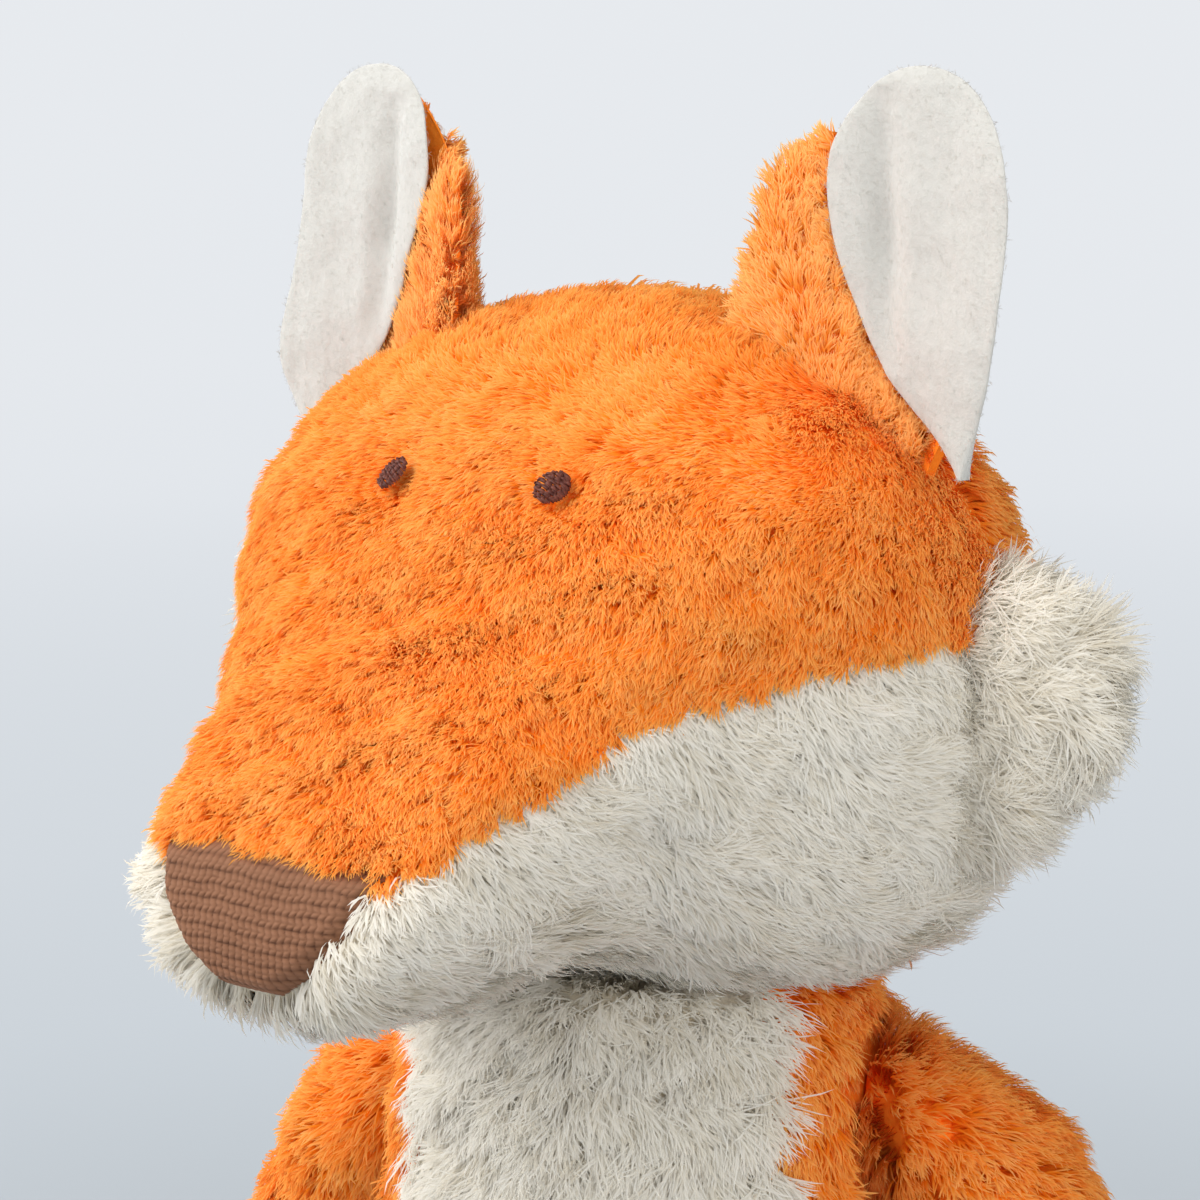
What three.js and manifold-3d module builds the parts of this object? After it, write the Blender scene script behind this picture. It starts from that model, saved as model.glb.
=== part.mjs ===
// A stuffed toy fox that sits on a table with its head turned to its own right.
// Millimetres, +Z up. The chest faces -Y, the toy's left side is +X, and the origin
// lies on the table under the neck. Each stuffed form is a plush cover round a core
// of stuffing, and the covers are cut into the panels that they are sewn from.
import * as THREE from 'three';
import { mergeVertices } from 'three/addons/utils/BufferGeometryUtils.js';
import Module from 'manifold-3d';

const wasm = await Module();
wasm.setup();

// Cloth, seams and the table
const plushThickness = 5;
const feltThickness = 1.8;
const seamGap = 0.3;
const floorFlat = 0.5;
const cutOverrun = 120;

// Head, measured from its middle, with the face to -Y before it is turned
const neckHeight = 140;
const headWidth = 133;
const headDepth = 98;
const headHeight = 96;
const headForward = 12;
const headRise = 56;
const headTurn = -17;
const browDepth = 37;
const browAngle = 42;
const jawDepth = 57;
const muzzleReach = 79;
const muzzleDrop = 36;
const muzzleWidth = 68;
const muzzleHeight = 56;
const noseWidth = 38;
const noseHeight = 18;
const noseWrap = 14;
const eyeSpacing = 31;
const eyeHeight = 21;
const eyeDiameter = 6;
const eyeDepth = 2;
const cheekTuftReach = 24;
const cheekTuftHeight = 50;
const cheekTuftThickness = 20;
const earHeight = 58;
const earWidth = 44;
const earThickness = 9;
const earSpread = 95;
const earBaseHeight = 20;
const earRightLeanAngle = 6;

// Body
const torsoWidth = 90;
const torsoDepth = 80;
const shoulderWidth = 84;
const neckRadius = 17;
const neckPlugHeight = 9;
const chestPanelWidth = 58;
const stuffingHoleRadius = 8;

// Arms, whose flat inner ends are sewn to the torso
const armLength = 74;
const armThickness = 30;
const armSeatWidth = 35;
const shoulderHeight = 112;
const armSetBack = 7;
const armSplayAngle = 8;

// Legs, stretched forward along the table
const legLength = 96;
const legThickness = 36;
const footHeight = 50;
const hipSeatWidth = 39;
const hipSetForward = 8;
const hipHeight = 21;
const legSplayAngle = 10;

// Tail, which lies on the table behind the toy
const tailLength = 118;
const tailGirth = 44;
const tailRootRadius = 13;
const tailRootHeight = 20;
const tailRootBack = 26;
const tailSwing = 20;
const tailTipLength = 40;

const finish = {
  orangePlush: { color: 0xf08a32, roughness: 0.95, metalness: 0 },
  creamPlush: { color: 0xe6dfd2, roughness: 0.95, metalness: 0 },
  feltWhite: { color: 0xe9e6df, roughness: 0.98, metalness: 0 },
  brownRib: { color: 0x8c6350, roughness: 0.9, metalness: 0 },
  darkThread: { color: 0x4a2a2c, roughness: 0.6, metalness: 0 },
  stuffing: { color: 0xf7f5f0, roughness: 1, metalness: 0 },
};

// Solids and cuts

function bareGeometry(geometry) {
  const bare = geometry.clone();
  for (const name of Object.keys(bare.attributes)) {
    if (name !== 'position') bare.deleteAttribute(name);
  }
  return mergeVertices(bare);
}

function solidOf(geometry) {
  const bare = bareGeometry(geometry);
  const vertProperties = new Float32Array(bare.attributes.position.array);
  const triVerts = new Uint32Array(bare.index.array);
  return new wasm.Manifold(new wasm.Mesh({ numProp: 3, vertProperties, triVerts }));
}

function geometryOf(solid) {
  const mesh = solid.getMesh();
  const geometry = new THREE.BufferGeometry();
  geometry.setAttribute('position', new THREE.BufferAttribute(mesh.vertProperties, 3));
  geometry.setIndex(new THREE.BufferAttribute(mesh.triVerts, 1));
  geometry.computeVertexNormals();
  return geometry;
}

// The same form with its surface moved out by a distance, or in by a negative one
function grown(geometry, distance) {
  const form = bareGeometry(geometry);
  form.computeVertexNormals();
  const place = new THREE.Vector3();
  const normal = new THREE.Vector3();
  const { position, normal: normals } = form.attributes;
  for (let i = 0; i < position.count; i += 1) {
    place.fromBufferAttribute(position, i);
    normal.fromBufferAttribute(normals, i);
    place.addScaledVector(normal, distance);
    position.setXYZ(i, place.x, place.y, place.z);
  }
  return form;
}

function mirrored(geometry) {
  const form = bareGeometry(geometry).scale(-1, 1, 1);
  const { index } = form;
  for (let i = 0; i < index.count; i += 3) {
    const second = index.getX(i + 1);
    index.setX(i + 1, index.getX(i + 2));
    index.setX(i + 2, second);
  }
  return form;
}

// All the space on the far side of a plane through the origin, seen from -side
function halfSpace(side) {
  const box = new THREE.BoxGeometry(2 * cutOverrun, 2 * cutOverrun, 2 * cutOverrun);
  return box.translate(side[0] * cutOverrun, side[1] * cutOverrun, side[2] * cutOverrun);
}

function moved(geometry, x, y, z) {
  return bareGeometry(geometry).translate(x, y, z);
}

function cutAway(geometry, ...cutters) {
  let solid = solidOf(geometry);
  for (const cutter of cutters) solid = solid.subtract(solidOf(cutter));
  return geometryOf(solid);
}

function shared(geometry, region) {
  return geometryOf(solidOf(geometry).intersect(solidOf(region)));
}

function joined(first, second) {
  return geometryOf(solidOf(first).add(solidOf(second)));
}

// A cutter that runs along Y behind an outline drawn in X and Z
function prismAlongY(outline, fromY, toY) {
  const shape = new THREE.Shape(outline.map(([x, z]) => new THREE.Vector2(x, z)));
  const prism = new THREE.ExtrudeGeometry(shape, { depth: toY - fromY, bevelEnabled: false });
  return prism.rotateX(Math.PI / 2).translate(0, toY, 0);
}

// A lengthwise form: rings of points from one tip to the other
function loft(ringPoint, ringCount, sideCount) {
  const positions = [...ringPoint(0, 0).toArray()];
  const triangles = [];
  for (let ring = 1; ring < ringCount; ring += 1) {
    const along = (1 - Math.cos((Math.PI * ring) / ringCount)) / 2;
    for (let side = 0; side < sideCount; side += 1) {
      positions.push(...ringPoint(along, (2 * Math.PI * side) / sideCount).toArray());
    }
  }
  positions.push(...ringPoint(1, 0).toArray());
  const last = positions.length / 3 - 1;
  const at = (ring, side) => 1 + (ring - 1) * sideCount + (side % sideCount);
  for (let side = 0; side < sideCount; side += 1) {
    triangles.push(0, at(1, side), at(1, side + 1));
    triangles.push(last, at(ringCount - 1, side + 1), at(ringCount - 1, side));
    for (let ring = 1; ring < ringCount - 1; ring += 1) {
      triangles.push(at(ring, side), at(ring + 1, side), at(ring, side + 1));
      triangles.push(at(ring, side + 1), at(ring + 1, side), at(ring + 1, side + 1));
    }
  }
  const geometry = new THREE.BufferGeometry();
  geometry.setAttribute('position', new THREE.Float32BufferAttribute(positions, 3));
  geometry.setIndex(triangles);
  return geometry;
}

// How full a stuffed tube is near its rounded ends, from 0 at the tips to 1
function endRound(along, squareness) {
  return Math.sqrt(Math.max(0, 1 - Math.abs(2 * along - 1) ** squareness));
}

// A stuffed limb. Its sections stand across X and the spine, which stays in one plane.
function limb(spine, girths, squareness, ringCount, sideCount) {
  const path = new THREE.CatmullRomCurve3(spine.map((point) => new THREE.Vector3(...point)));
  const girth = new THREE.SplineCurve(girths.map((pair) => new THREE.Vector2(...pair)));
  const across = new THREE.Vector3(1, 0, 0);
  return loft((along, angle) => {
    const size = girth.getPoint(along);
    const full = endRound(along, squareness);
    const up = new THREE.Vector3().crossVectors(across, path.getTangent(along)).normalize();
    return path.getPoint(along)
      .addScaledVector(across, size.x * full * Math.cos(angle))
      .addScaledVector(up, size.y * full * Math.sin(angle));
  }, ringCount, sideCount);
}

// A stuffed bag. Each lobe is an ellipsoid that holds the bag's middle, and the cloth
// lies over all the lobes at once, with soft dips between them. A flat is a plane at a
// distance from the middle that the cloth is drawn back to, with a soft edge.
const lobeSharpness = 12;
const flatSharpness = 14;

function lobeReach(lobe, direction) {
  const turn = new THREE.Matrix4().makeRotationX(-(lobe.tilt ?? 0));
  const start = new THREE.Vector3(...lobe.at).negate().applyMatrix4(turn);
  const heading = direction.clone().applyMatrix4(turn);
  const radii = new THREE.Vector3(...lobe.radii);
  start.divide(radii);
  heading.divide(radii);
  const slope = start.dot(heading);
  const inside = slope * slope - heading.lengthSq() * (start.lengthSq() - 1);
  return Math.max(0, Math.sqrt(Math.max(0, inside)) - slope) / heading.lengthSq();
}

function bagReach({ lobes, flats = [] }, direction) {
  const full = lobes.reduce((total, lobe) => total + lobeReach(lobe, direction) ** lobeSharpness, 0);
  const reach = full ** (1 / lobeSharpness);
  const limits = flats.map((flat) => (reach * Math.max(0, direction.dot(flat.facing))) / flat.distance);
  const drawn = limits.reduce((total, limit) => total + limit ** flatSharpness, 1);
  return reach / drawn ** (1 / flatSharpness);
}

function bag(form, detail) {
  const ball = bareGeometry(new THREE.IcosahedronGeometry(1, detail));
  const { position } = ball.attributes;
  const stretch = new THREE.Vector3(...(form.stretch ?? form.lobes[0].radii));
  const direction = new THREE.Vector3();
  for (let i = 0; i < position.count; i += 1) {
    direction.fromBufferAttribute(position, i).multiply(stretch).normalize();
    direction.multiplyScalar(bagReach(form, direction));
    position.setXYZ(i, direction.x, direction.y, direction.z);
  }
  return ball;
}

// Scene tree

const fox = new THREE.Group();

function addPiece(parent, name, geometry, look) {
  const mesh = new THREE.Mesh(geometry, new THREE.MeshStandardMaterial(look));
  mesh.name = name;
  parent.add(mesh);
}

const neckPlug = new THREE.LatheGeometry([
  new THREE.Vector2(0, -2 * neckPlugHeight),
  new THREE.Vector2(neckRadius, -2 * neckPlugHeight),
  new THREE.Vector2(neckRadius, neckPlugHeight / 2),
  new THREE.Vector2(neckRadius / 2, neckPlugHeight),
  new THREE.Vector2(0, neckPlugHeight),
], 24).rotateX(Math.PI / 2);

// Head. Its group turns about the neck, and its own middle lies forward of that axis.

const head = new THREE.Group();
head.position.set(0, 0, neckHeight);
head.rotation.z = THREE.MathUtils.degToRad(headTurn);
fox.add(head);

const headHalf = [headWidth / 2, headDepth / 2, headHeight / 2];
const headMiddle = [0, -headForward, headRise];

function inHead(shares) {
  return shares.map((share, axis) => share * headHalf[axis]);
}

const skullAtShares = [0, 0.08, 0];
const cheekAtShares = [0.39, 0.1, -0.44];
const cheekRadiusShares = [0.57, 0.74, 0.8];
const muzzleMiddleShare = 0.4;
const muzzleLengthShare = 0.86;
const muzzleDropShare = 0.62;
const muzzleStretchShare = 1.05;
const muzzleTilt = Math.atan2(muzzleDrop / 2, muzzleReach);
const browTilt = THREE.MathUtils.degToRad(browAngle);

const headBag = {
  lobes: [
    { at: inHead(skullAtShares), radii: headHalf },
    { at: inHead(cheekAtShares), radii: inHead(cheekRadiusShares) },
    { at: inHead([-cheekAtShares[0], cheekAtShares[1], cheekAtShares[2]]), radii: inHead(cheekRadiusShares) },
    {
      at: [0, -muzzleReach * muzzleMiddleShare, -muzzleDrop * muzzleDropShare],
      radii: [muzzleWidth / 2, muzzleReach * muzzleLengthShare, muzzleHeight / 2],
      tilt: muzzleTilt,
    },
  ],
  flats: [
    { facing: new THREE.Vector3(0, -Math.cos(browTilt), Math.sin(browTilt)), distance: browDepth },
    { facing: new THREE.Vector3(0, -1, 0), distance: muzzleReach },
    { facing: new THREE.Vector3(0, 0, -1), distance: jawDepth },
  ],
  stretch: [headHalf[0], muzzleReach * muzzleStretchShare, headHalf[2]],
};

const headForm = moved(bag(headBag, 8), ...headMiddle);
const headCoreForm = moved(bag(headBag, 4), ...headMiddle);
const headBed = moved(halfSpace([0, 0, -1]), 0, 0, seamGap / 2);
const neckHole = grown(neckPlug, seamGap);
const headLining = grown(headCoreForm, -plushThickness);
const headCover = cutAway(headForm, headBed, headLining, neckHole);

addPiece(head, 'head_stuffing', cutAway(grown(headCoreForm, -plushThickness - seamGap), headBed, neckHole),
  finish.stuffing);

// Face seam from the nose up to the side seam, in shares of half the head's width and height
const faceSeamShares = [
  [1.4, 0.12], [1, 0.02], [0.92, -0.04], [0.67, -0.17], [0.54, -0.27], [0.43, -0.44], [0.35, -0.57],
  [0.27, -0.62],
];
const sideSeamShare = 0.19;
const sideSeamY = headMiddle[1] + sideSeamShare * headHalf[1];

function seamOutline(gap, closingZ) {
  const right = faceSeamShares.map(([x, z]) => [x * headHalf[0], headMiddle[2] + z * headHalf[2] + gap]);
  const left = right.map(([x, z]) => [-x, z]).reverse();
  return [...right, ...left, [-cutOverrun, closingZ], [cutOverrun, closingZ]];
}

const faceRegion = prismAlongY(seamOutline(seamGap / 2, cutOverrun), -cutOverrun, sideSeamY - seamGap / 2);
const jawRegion = prismAlongY(seamOutline(-seamGap / 2, -cutOverrun), -cutOverrun, sideSeamY - seamGap / 2);
const backRegion = moved(halfSpace([0, 1, 0]), 0, sideSeamY + seamGap / 2, 0);

// Nose patch: a rounded triangle let into the tip of the muzzle
const noseOutlineShares = [
  [-1, 0.9], [-0.6, 1], [0.6, 1], [1, 0.9], [0.86, 0.2], [0.55, -0.55], [0.25, -0.95],
  [-0.25, -0.95], [-0.55, -0.55], [-0.86, 0.2],
];
const noseMiddleZ = headMiddle[2] - muzzleDrop;
const noseFrom = headMiddle[1] - muzzleReach + noseWrap;

function noseRegion(gap) {
  const outline = noseOutlineShares.map(([x, z]) => [
    x * (noseWidth / 2 + gap), noseMiddleZ + z * (noseHeight / 2 + gap),
  ]);
  return prismAlongY(outline, -cutOverrun, noseFrom + gap);
}

const noseHole = noseRegion(seamGap);
addPiece(head, 'nose_patch', shared(headCover, noseRegion(0)), finish.brownRib);

// Eyes, embroidered discs that lie a little below the pile
const eyeForwardShare = 0.62;

function eyeCylinder(side, radius, fromDepth, toDepth) {
  const across = (side * eyeSpacing) / 2;
  const ray = new THREE.Vector3(across, -eyeForwardShare * headHalf[1], eyeHeight).normalize();
  const surface = ray.clone().multiplyScalar(bagReach(headBag, ray)).add(new THREE.Vector3(...headMiddle));
  const outward = new THREE.Vector3(across / headHalf[0], -Math.cos(browTilt), Math.sin(browTilt)).normalize();
  const disc = new THREE.CylinderGeometry(radius, radius, fromDepth - toDepth, 16);
  disc.translate(0, -(fromDepth + toDepth) / 2, 0);
  disc.applyQuaternion(new THREE.Quaternion().setFromUnitVectors(new THREE.Vector3(0, 1, 0), outward));
  return disc.translate(...surface.toArray());
}

const eyePockets = [];
for (const [side, name] of [[1, 'eye_left'], [-1, 'eye_right']]) {
  addPiece(head, name, eyeCylinder(side, eyeDiameter / 2, 2 * eyeDepth, eyeDepth / 2), finish.darkThread);
  eyePockets.push(eyeCylinder(side, eyeDiameter / 2 + seamGap, 2 * eyeDepth + seamGap, -2 * eyeDepth));
}

addPiece(head, 'face_panel', cutAway(shared(headCover, faceRegion), noseHole, ...eyePockets), finish.orangePlush);
addPiece(head, 'jaw_panel', cutAway(shared(headCover, jawRegion), noseHole), finish.creamPlush);
addPiece(head, 'head_back_panel', shared(headCover, backRegion), finish.orangePlush);

// Ears. The orange back is a cupped plate with a fat roll along its inner edge, and the
// felt lining lies in the cup.
const headClear = grown(headForm, seamGap);
const earInnerShares = [-0.52, -0.52, -0.48, -0.39, -0.1];
const earOuterShares = [0.25, 0.41, 0.51, 0.5, 0.36];
const earRollShares = [1.3, 1.25, 1.1, 0.9, 0.7];
const earFlatShare = 0.5;
const liningInnerShares = [0.22, -0.01, -0.11, -0.19, -0.13];
const liningOuterShares = [0.28, 0.45, 0.55, 0.54, 0.42];
const earTipSquareness = 7;

function alongShares(shares, along) {
  const curve = new THREE.SplineCurve(shares.map((share) => new THREE.Vector2(share, 0)));
  return curve.getPoint(along).x;
}

function earCup(x) {
  const share = x / (earWidth / 2);
  return (earThickness / 2) * (1 - share * share);
}

function earPlate(innerShares, outerShares, thicknessAt, shift) {
  return loft((along, angle) => {
    const inner = alongShares(innerShares, along) * earWidth;
    const outer = alongShares(outerShares, along) * earWidth;
    const full = endRound((1 + along) / 2, earTipSquareness);
    const x = (inner + outer) / 2 + ((outer - inner) / 2) * full * Math.cos(angle);
    const thickness = thicknessAt(along, (Math.cos(angle) + 1) / 2) * full;
    const y = earCup(x) + shift - (thickness / 2) * Math.sin(angle);
    return new THREE.Vector3(x, y, along * earHeight);
  }, 10, 14);
}

function earThicknessAt(along, outward) {
  const roll = alongShares(earRollShares, along);
  return earThickness * THREE.MathUtils.lerp(roll, earFlatShare, Math.min(1, 2 * outward));
}

const liningShift = -(earThickness * earFlatShare + feltThickness) / 2 - seamGap;

// The two parts of an ear on the toy's left, leaning in by an angle in degrees
function earParts(leanAngle) {
  const placed = (plate) => moved(
    plate.rotateY(-THREE.MathUtils.degToRad(leanAngle)),
    earSpread / 2, headMiddle[1], headMiddle[2] + earBaseHeight,
  );
  const back = cutAway(placed(earPlate(earInnerShares, earOuterShares, earThicknessAt, 0)), headClear);
  const plate = earPlate(liningInnerShares, liningOuterShares, () => feltThickness, liningShift);
  return { back, lining: cutAway(placed(plate), headClear, grown(back, seamGap)) };
}

const earLeft = earParts(0);
const earRight = earParts(earRightLeanAngle);
addPiece(head, 'ear_back_left', earLeft.back, finish.orangePlush);
addPiece(head, 'ear_back_right', mirrored(earRight.back), finish.orangePlush);
addPiece(head, 'ear_lining_left', earLeft.lining, finish.feltWhite);
addPiece(head, 'ear_lining_right', mirrored(earRight.lining), finish.feltWhite);

// Cheek tufts: shaggy lobes caught in the side seam
const tuftAtShares = [1, 0.17, -0.25];
const cheekTuft = cutAway(moved(
  bag({ lobes: [{ at: [0, 0, 0], radii: [cheekTuftReach, cheekTuftThickness / 2, cheekTuftHeight / 2] }] }, 3),
  tuftAtShares[0] * headHalf[0],
  headMiddle[1] + tuftAtShares[1] * headHalf[1],
  headMiddle[2] + tuftAtShares[2] * headHalf[2],
), headClear);
addPiece(head, 'cheek_tuft_left', cheekTuft, finish.creamPlush);
addPiece(head, 'cheek_tuft_right', mirrored(cheekTuft), finish.creamPlush);

// Limb seats: the flat planes in which the arms and legs swing against the torso

function seatGroup(x, y, z, tiltDegrees, splayDegrees) {
  const group = new THREE.Group();
  group.position.set(x, y, z);
  group.rotation.set(0, THREE.MathUtils.degToRad(-tiltDegrees), THREE.MathUtils.degToRad(splayDegrees), 'ZYX');
  group.updateMatrix();
  return group;
}

const seats = {
  arm_left: seatGroup(armSeatWidth, armSetBack, shoulderHeight, armSplayAngle, 0),
  arm_right: seatGroup(-armSeatWidth, armSetBack, shoulderHeight, -armSplayAngle, 0),
  leg_left: seatGroup(hipSeatWidth, -hipSetForward, hipHeight, 0, legSplayAngle),
  leg_right: seatGroup(-hipSeatWidth, -hipSetForward, hipHeight, 0, -legSplayAngle),
};

function outsideSeat(name, inset) {
  const side = name.endsWith('left') ? 1 : -1;
  return moved(halfSpace([side, 0, 0]), -side * inset, 0, 0).applyMatrix4(seats[name].matrix);
}

// Torso: a low belly and a narrower chest, flat where the limbs sit

const bellyHeightShare = 0.36;
const chestHeightShare = 0.76;
const chestRadiusShare = 0.385;
const torsoMiddle = neckHeight / 2;
const torsoBag = {
  lobes: [
    {
      at: [0, 0, bellyHeightShare * neckHeight - torsoMiddle],
      radii: [torsoWidth / 2, torsoDepth / 2, bellyHeightShare * neckHeight + floorFlat],
    },
    {
      at: [0, 0, chestHeightShare * neckHeight - torsoMiddle],
      radii: [shoulderWidth / 2, (torsoDepth / torsoWidth) * (shoulderWidth / 2), neckHeight * chestRadiusShare],
    },
  ],
};
const torsoTop = moved(halfSpace([0, 0, 1]), 0, 0, neckHeight - seamGap / 2);
const table = halfSpace([0, 0, -1]);
const torsoForm = moved(bag(torsoBag, 6), 0, 0, torsoMiddle);
const torsoCoreForm = moved(bag(torsoBag, 4), 0, 0, torsoMiddle);

function torsoCutters(inset) {
  return Object.keys(seats).map((name) => outsideSeat(name, inset + seamGap / 2));
}

const tailRoot = [0, tailRootBack, tailRootHeight];

// The ball at the tail's root, whose rings lie round the upright axis that it turns on
function tailBall(gap) {
  const ball = new THREE.SphereGeometry(tailRootRadius + gap, 24, 10).rotateX(Math.PI / 2);
  return moved(ball, ...tailRoot);
}

const tailSocket = tailBall(seamGap);
const torsoOuter = cutAway(torsoForm, torsoTop, table, ...torsoCutters(0));
const torsoInner = cutAway(grown(torsoCoreForm, -plushThickness), ...torsoCutters(plushThickness));
const placedPlug = moved(neckPlug, 0, 0, neckHeight);
const torsoCover = cutAway(torsoOuter, torsoInner, grown(placedPlug, seamGap), tailSocket);
const torsoCore = cutAway(
  grown(torsoCoreForm, -plushThickness - seamGap),
  torsoTop,
  ...torsoCutters(plushThickness + seamGap),
);

addPiece(fox, 'torso_stuffing', cutAway(joined(torsoCore, placedPlug), tailSocket), finish.stuffing);

// Chest panel, in shares of half its width and of the neck's height
const chestOutlineShares = [
  [0.8, 1.2], [0.82, 1], [0.96, 0.82], [1.04, 0.55], [1, 0.35], [0.78, 0.2], [0.42, 0.12], [0, 0.09],
];

function chestRegion(gap) {
  const right = chestOutlineShares.map(([x, z]) => [
    x * (chestPanelWidth / 2 + gap), z * neckHeight - gap,
  ]);
  const left = right.slice(0, -1).map(([x, z]) => [-x, z]).reverse();
  return prismAlongY([...right.reverse(), ...left.reverse()], -cutOverrun, gap);
}

addPiece(fox, 'chest_panel', shared(torsoCover, chestRegion(0)), finish.creamPlush);
addPiece(fox, 'torso_cover', cutAway(torsoCover, chestRegion(seamGap)), finish.orangePlush);

// Arms. The spine's points are shares of the arm's thickness, length and length.

const armSpineShares = [[0.34, 0, 0.24], [0.46, 0, -0.08], [0.66, -0.03, -0.42], [0.82, -0.1, -0.76]];
const armGirthShares = [[0.5, 0.5], [0.54, 0.58], [0.46, 0.5], [0.5, 0.56]];
const armSquareness = 5;

function armForm(ringCount, sideCount) {
  const spine = armSpineShares.map(([x, y, z]) => [x * armThickness, y * armLength, z * armLength]);
  const girths = armGirthShares.map(([x, y]) => [x * armThickness, y * armThickness]);
  return limb(spine, girths, armSquareness, ringCount, sideCount);
}

const inwardOfSeat = moved(halfSpace([-1, 0, 0]), seamGap / 2, 0, 0);

// The hole in the seat through which a limb is stuffed before it is sewn on
const stuffingHole = moved(
  new THREE.CylinderGeometry(stuffingHoleRadius, stuffingHoleRadius, 4 * plushThickness, 16).rotateZ(Math.PI / 2),
  plushThickness,
  0,
  0,
);

function stuffedLimb(form, coreForm, ...cutters) {
  const lining = grown(coreForm, -plushThickness);
  return {
    cover: cutAway(form, lining, stuffingHole, inwardOfSeat, ...cutters),
    core: cutAway(grown(coreForm, -plushThickness - seamGap), inwardOfSeat, ...cutters),
  };
}

const arm = stuffedLimb(armForm(11, 14), armForm(7, 8));

// Legs. The spine's points are shares of the leg's thickness and length, and the heights
// follow from the girths, so that the underside lies along the table.

const legSpineShares = [[0.38, 0.22], [0.46, -0.12], [0.52, -0.45], [0.55, -0.78]];
const legGirthShares = [[0.52, 0.54], [0.54, 0.58], [0.48, 0.5]];
const footGirthShares = [0.54, 0.5];
const legSquareness = 6;

function legForm(ringCount, sideCount) {
  const girths = legGirthShares.map(([x, z]) => [x * legThickness, z * legThickness]);
  girths.push([footGirthShares[0] * legThickness, footGirthShares[1] * footHeight]);
  const spine = legSpineShares.map(([x, y], i) => [
    x * legThickness, y * legLength, girths[i][1] - hipHeight - floorFlat,
  ]);
  return limb(spine, girths, legSquareness, ringCount, sideCount);
}

const soleShare = 0.7;
const soleCutY = -soleShare * legLength;
const legTable = moved(table, 0, 0, -hipHeight);
const leg = stuffedLimb(legForm(11, 14), legForm(7, 8), legTable);
const soleSide = moved(halfSpace([0, -1, 0]), 0, soleCutY, 0);
const coverSide = moved(halfSpace([0, 1, 0]), 0, soleCutY + seamGap, 0);
const legCover = shared(leg.cover, coverSide);
const footSole = shared(leg.cover, soleSide);

for (const [side, shape] of [['left', (form) => form], ['right', mirrored]]) {
  fox.add(seats[`arm_${side}`], seats[`leg_${side}`]);
  addPiece(seats[`arm_${side}`], `arm_${side}_cover`, shape(arm.cover), finish.orangePlush);
  addPiece(seats[`arm_${side}`], `arm_${side}_stuffing`, shape(arm.core), finish.stuffing);
  addPiece(seats[`leg_${side}`], `leg_${side}_cover`, shape(legCover), finish.orangePlush);
  addPiece(seats[`leg_${side}`], `leg_${side}_stuffing`, shape(leg.core), finish.stuffing);
  addPiece(seats[`leg_${side}`], `foot_${side}_sole`, shape(footSole), finish.creamPlush);
}

// Tail: a ball at its root sits in the torso's socket, and the brush swells behind it.

const tailSpineShares = [-0.1, 0.16, 0.4, 0.7, 1];
const tailGirthShares = [0.36, 0.5, 0.9, 1, 0.56];
const tailSquareness = 4;
const tailRiseShares = [0, 0, 0, 0.02, 0.2];

function tailForm(ringCount, sideCount) {
  const radii = tailGirthShares.map((share) => (share * tailGirth) / 2);
  const girths = radii.map((radius) => [radius, radius]);
  const spine = tailSpineShares.map((share, i) => {
    const low = i < 2 ? tailRootHeight : radii[i] - floorFlat;
    return [0, tailRoot[1] + share * tailLength, low + tailRiseShares[i] * tailGirth];
  });
  return limb(spine, girths, tailSquareness, ringCount, sideCount);
}

// The torso as the tail meets it while it swings from side to side
function torsoSwept(gap) {
  return [-1, -0.5, 0, 0.5, 1].map((share) => moved(
    moved(grown(torsoForm, gap), -tailRoot[0], -tailRoot[1], -tailRoot[2])
      .rotateZ(THREE.MathUtils.degToRad(share * tailSwing)),
    ...tailRoot,
  ));
}

const tailOuter = joined(cutAway(tailForm(14, 14), ...torsoSwept(seamGap), table), tailBall(0));
const tailCoreForm = tailForm(10, 8);

function tailInside(inset) {
  return cutAway(grown(tailCoreForm, -inset), ...torsoSwept(seamGap + inset), tailBall(seamGap));
}

const tailCover = cutAway(tailOuter, tailInside(plushThickness));
const tailSeamY = tailRoot[1] + tailLength - tailTipLength;

addPiece(fox, 'tail_cover', shared(tailCover, moved(halfSpace([0, -1, 0]), 0, tailSeamY - seamGap, 0)),
  finish.orangePlush);
addPiece(fox, 'tail_tip', shared(tailCover, moved(halfSpace([0, 1, 0]), 0, tailSeamY, 0)), finish.creamPlush);
addPiece(fox, 'tail_stuffing', tailInside(plushThickness + seamGap), finish.stuffing);

export default fox;
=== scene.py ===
import math

import bmesh
import bpy
import numpy as np
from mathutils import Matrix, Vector


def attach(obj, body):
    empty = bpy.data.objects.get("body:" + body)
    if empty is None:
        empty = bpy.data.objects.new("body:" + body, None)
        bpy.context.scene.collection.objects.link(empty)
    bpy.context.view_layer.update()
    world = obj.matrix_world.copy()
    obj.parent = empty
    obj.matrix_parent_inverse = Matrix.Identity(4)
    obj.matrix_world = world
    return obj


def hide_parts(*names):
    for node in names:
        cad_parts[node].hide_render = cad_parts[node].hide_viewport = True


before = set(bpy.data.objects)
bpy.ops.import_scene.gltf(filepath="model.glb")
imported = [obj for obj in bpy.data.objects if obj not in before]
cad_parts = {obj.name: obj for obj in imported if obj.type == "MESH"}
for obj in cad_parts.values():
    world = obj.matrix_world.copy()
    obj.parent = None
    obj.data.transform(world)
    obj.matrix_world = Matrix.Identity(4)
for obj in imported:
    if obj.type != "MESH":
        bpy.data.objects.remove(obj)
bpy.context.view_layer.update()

# Head: a bag of plush blown out by its filling, sewn from a face panel, a jaw panel and a
# back panel, and turned a little to the toy's right on the neck. Forms are in millimetres and
# repeat those of the CAD model.
MM = 0.001
LOBE_SHARPNESS = 12
FLAT_SHARPNESS = 14
PILE_DEPTH = 3.6


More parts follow.
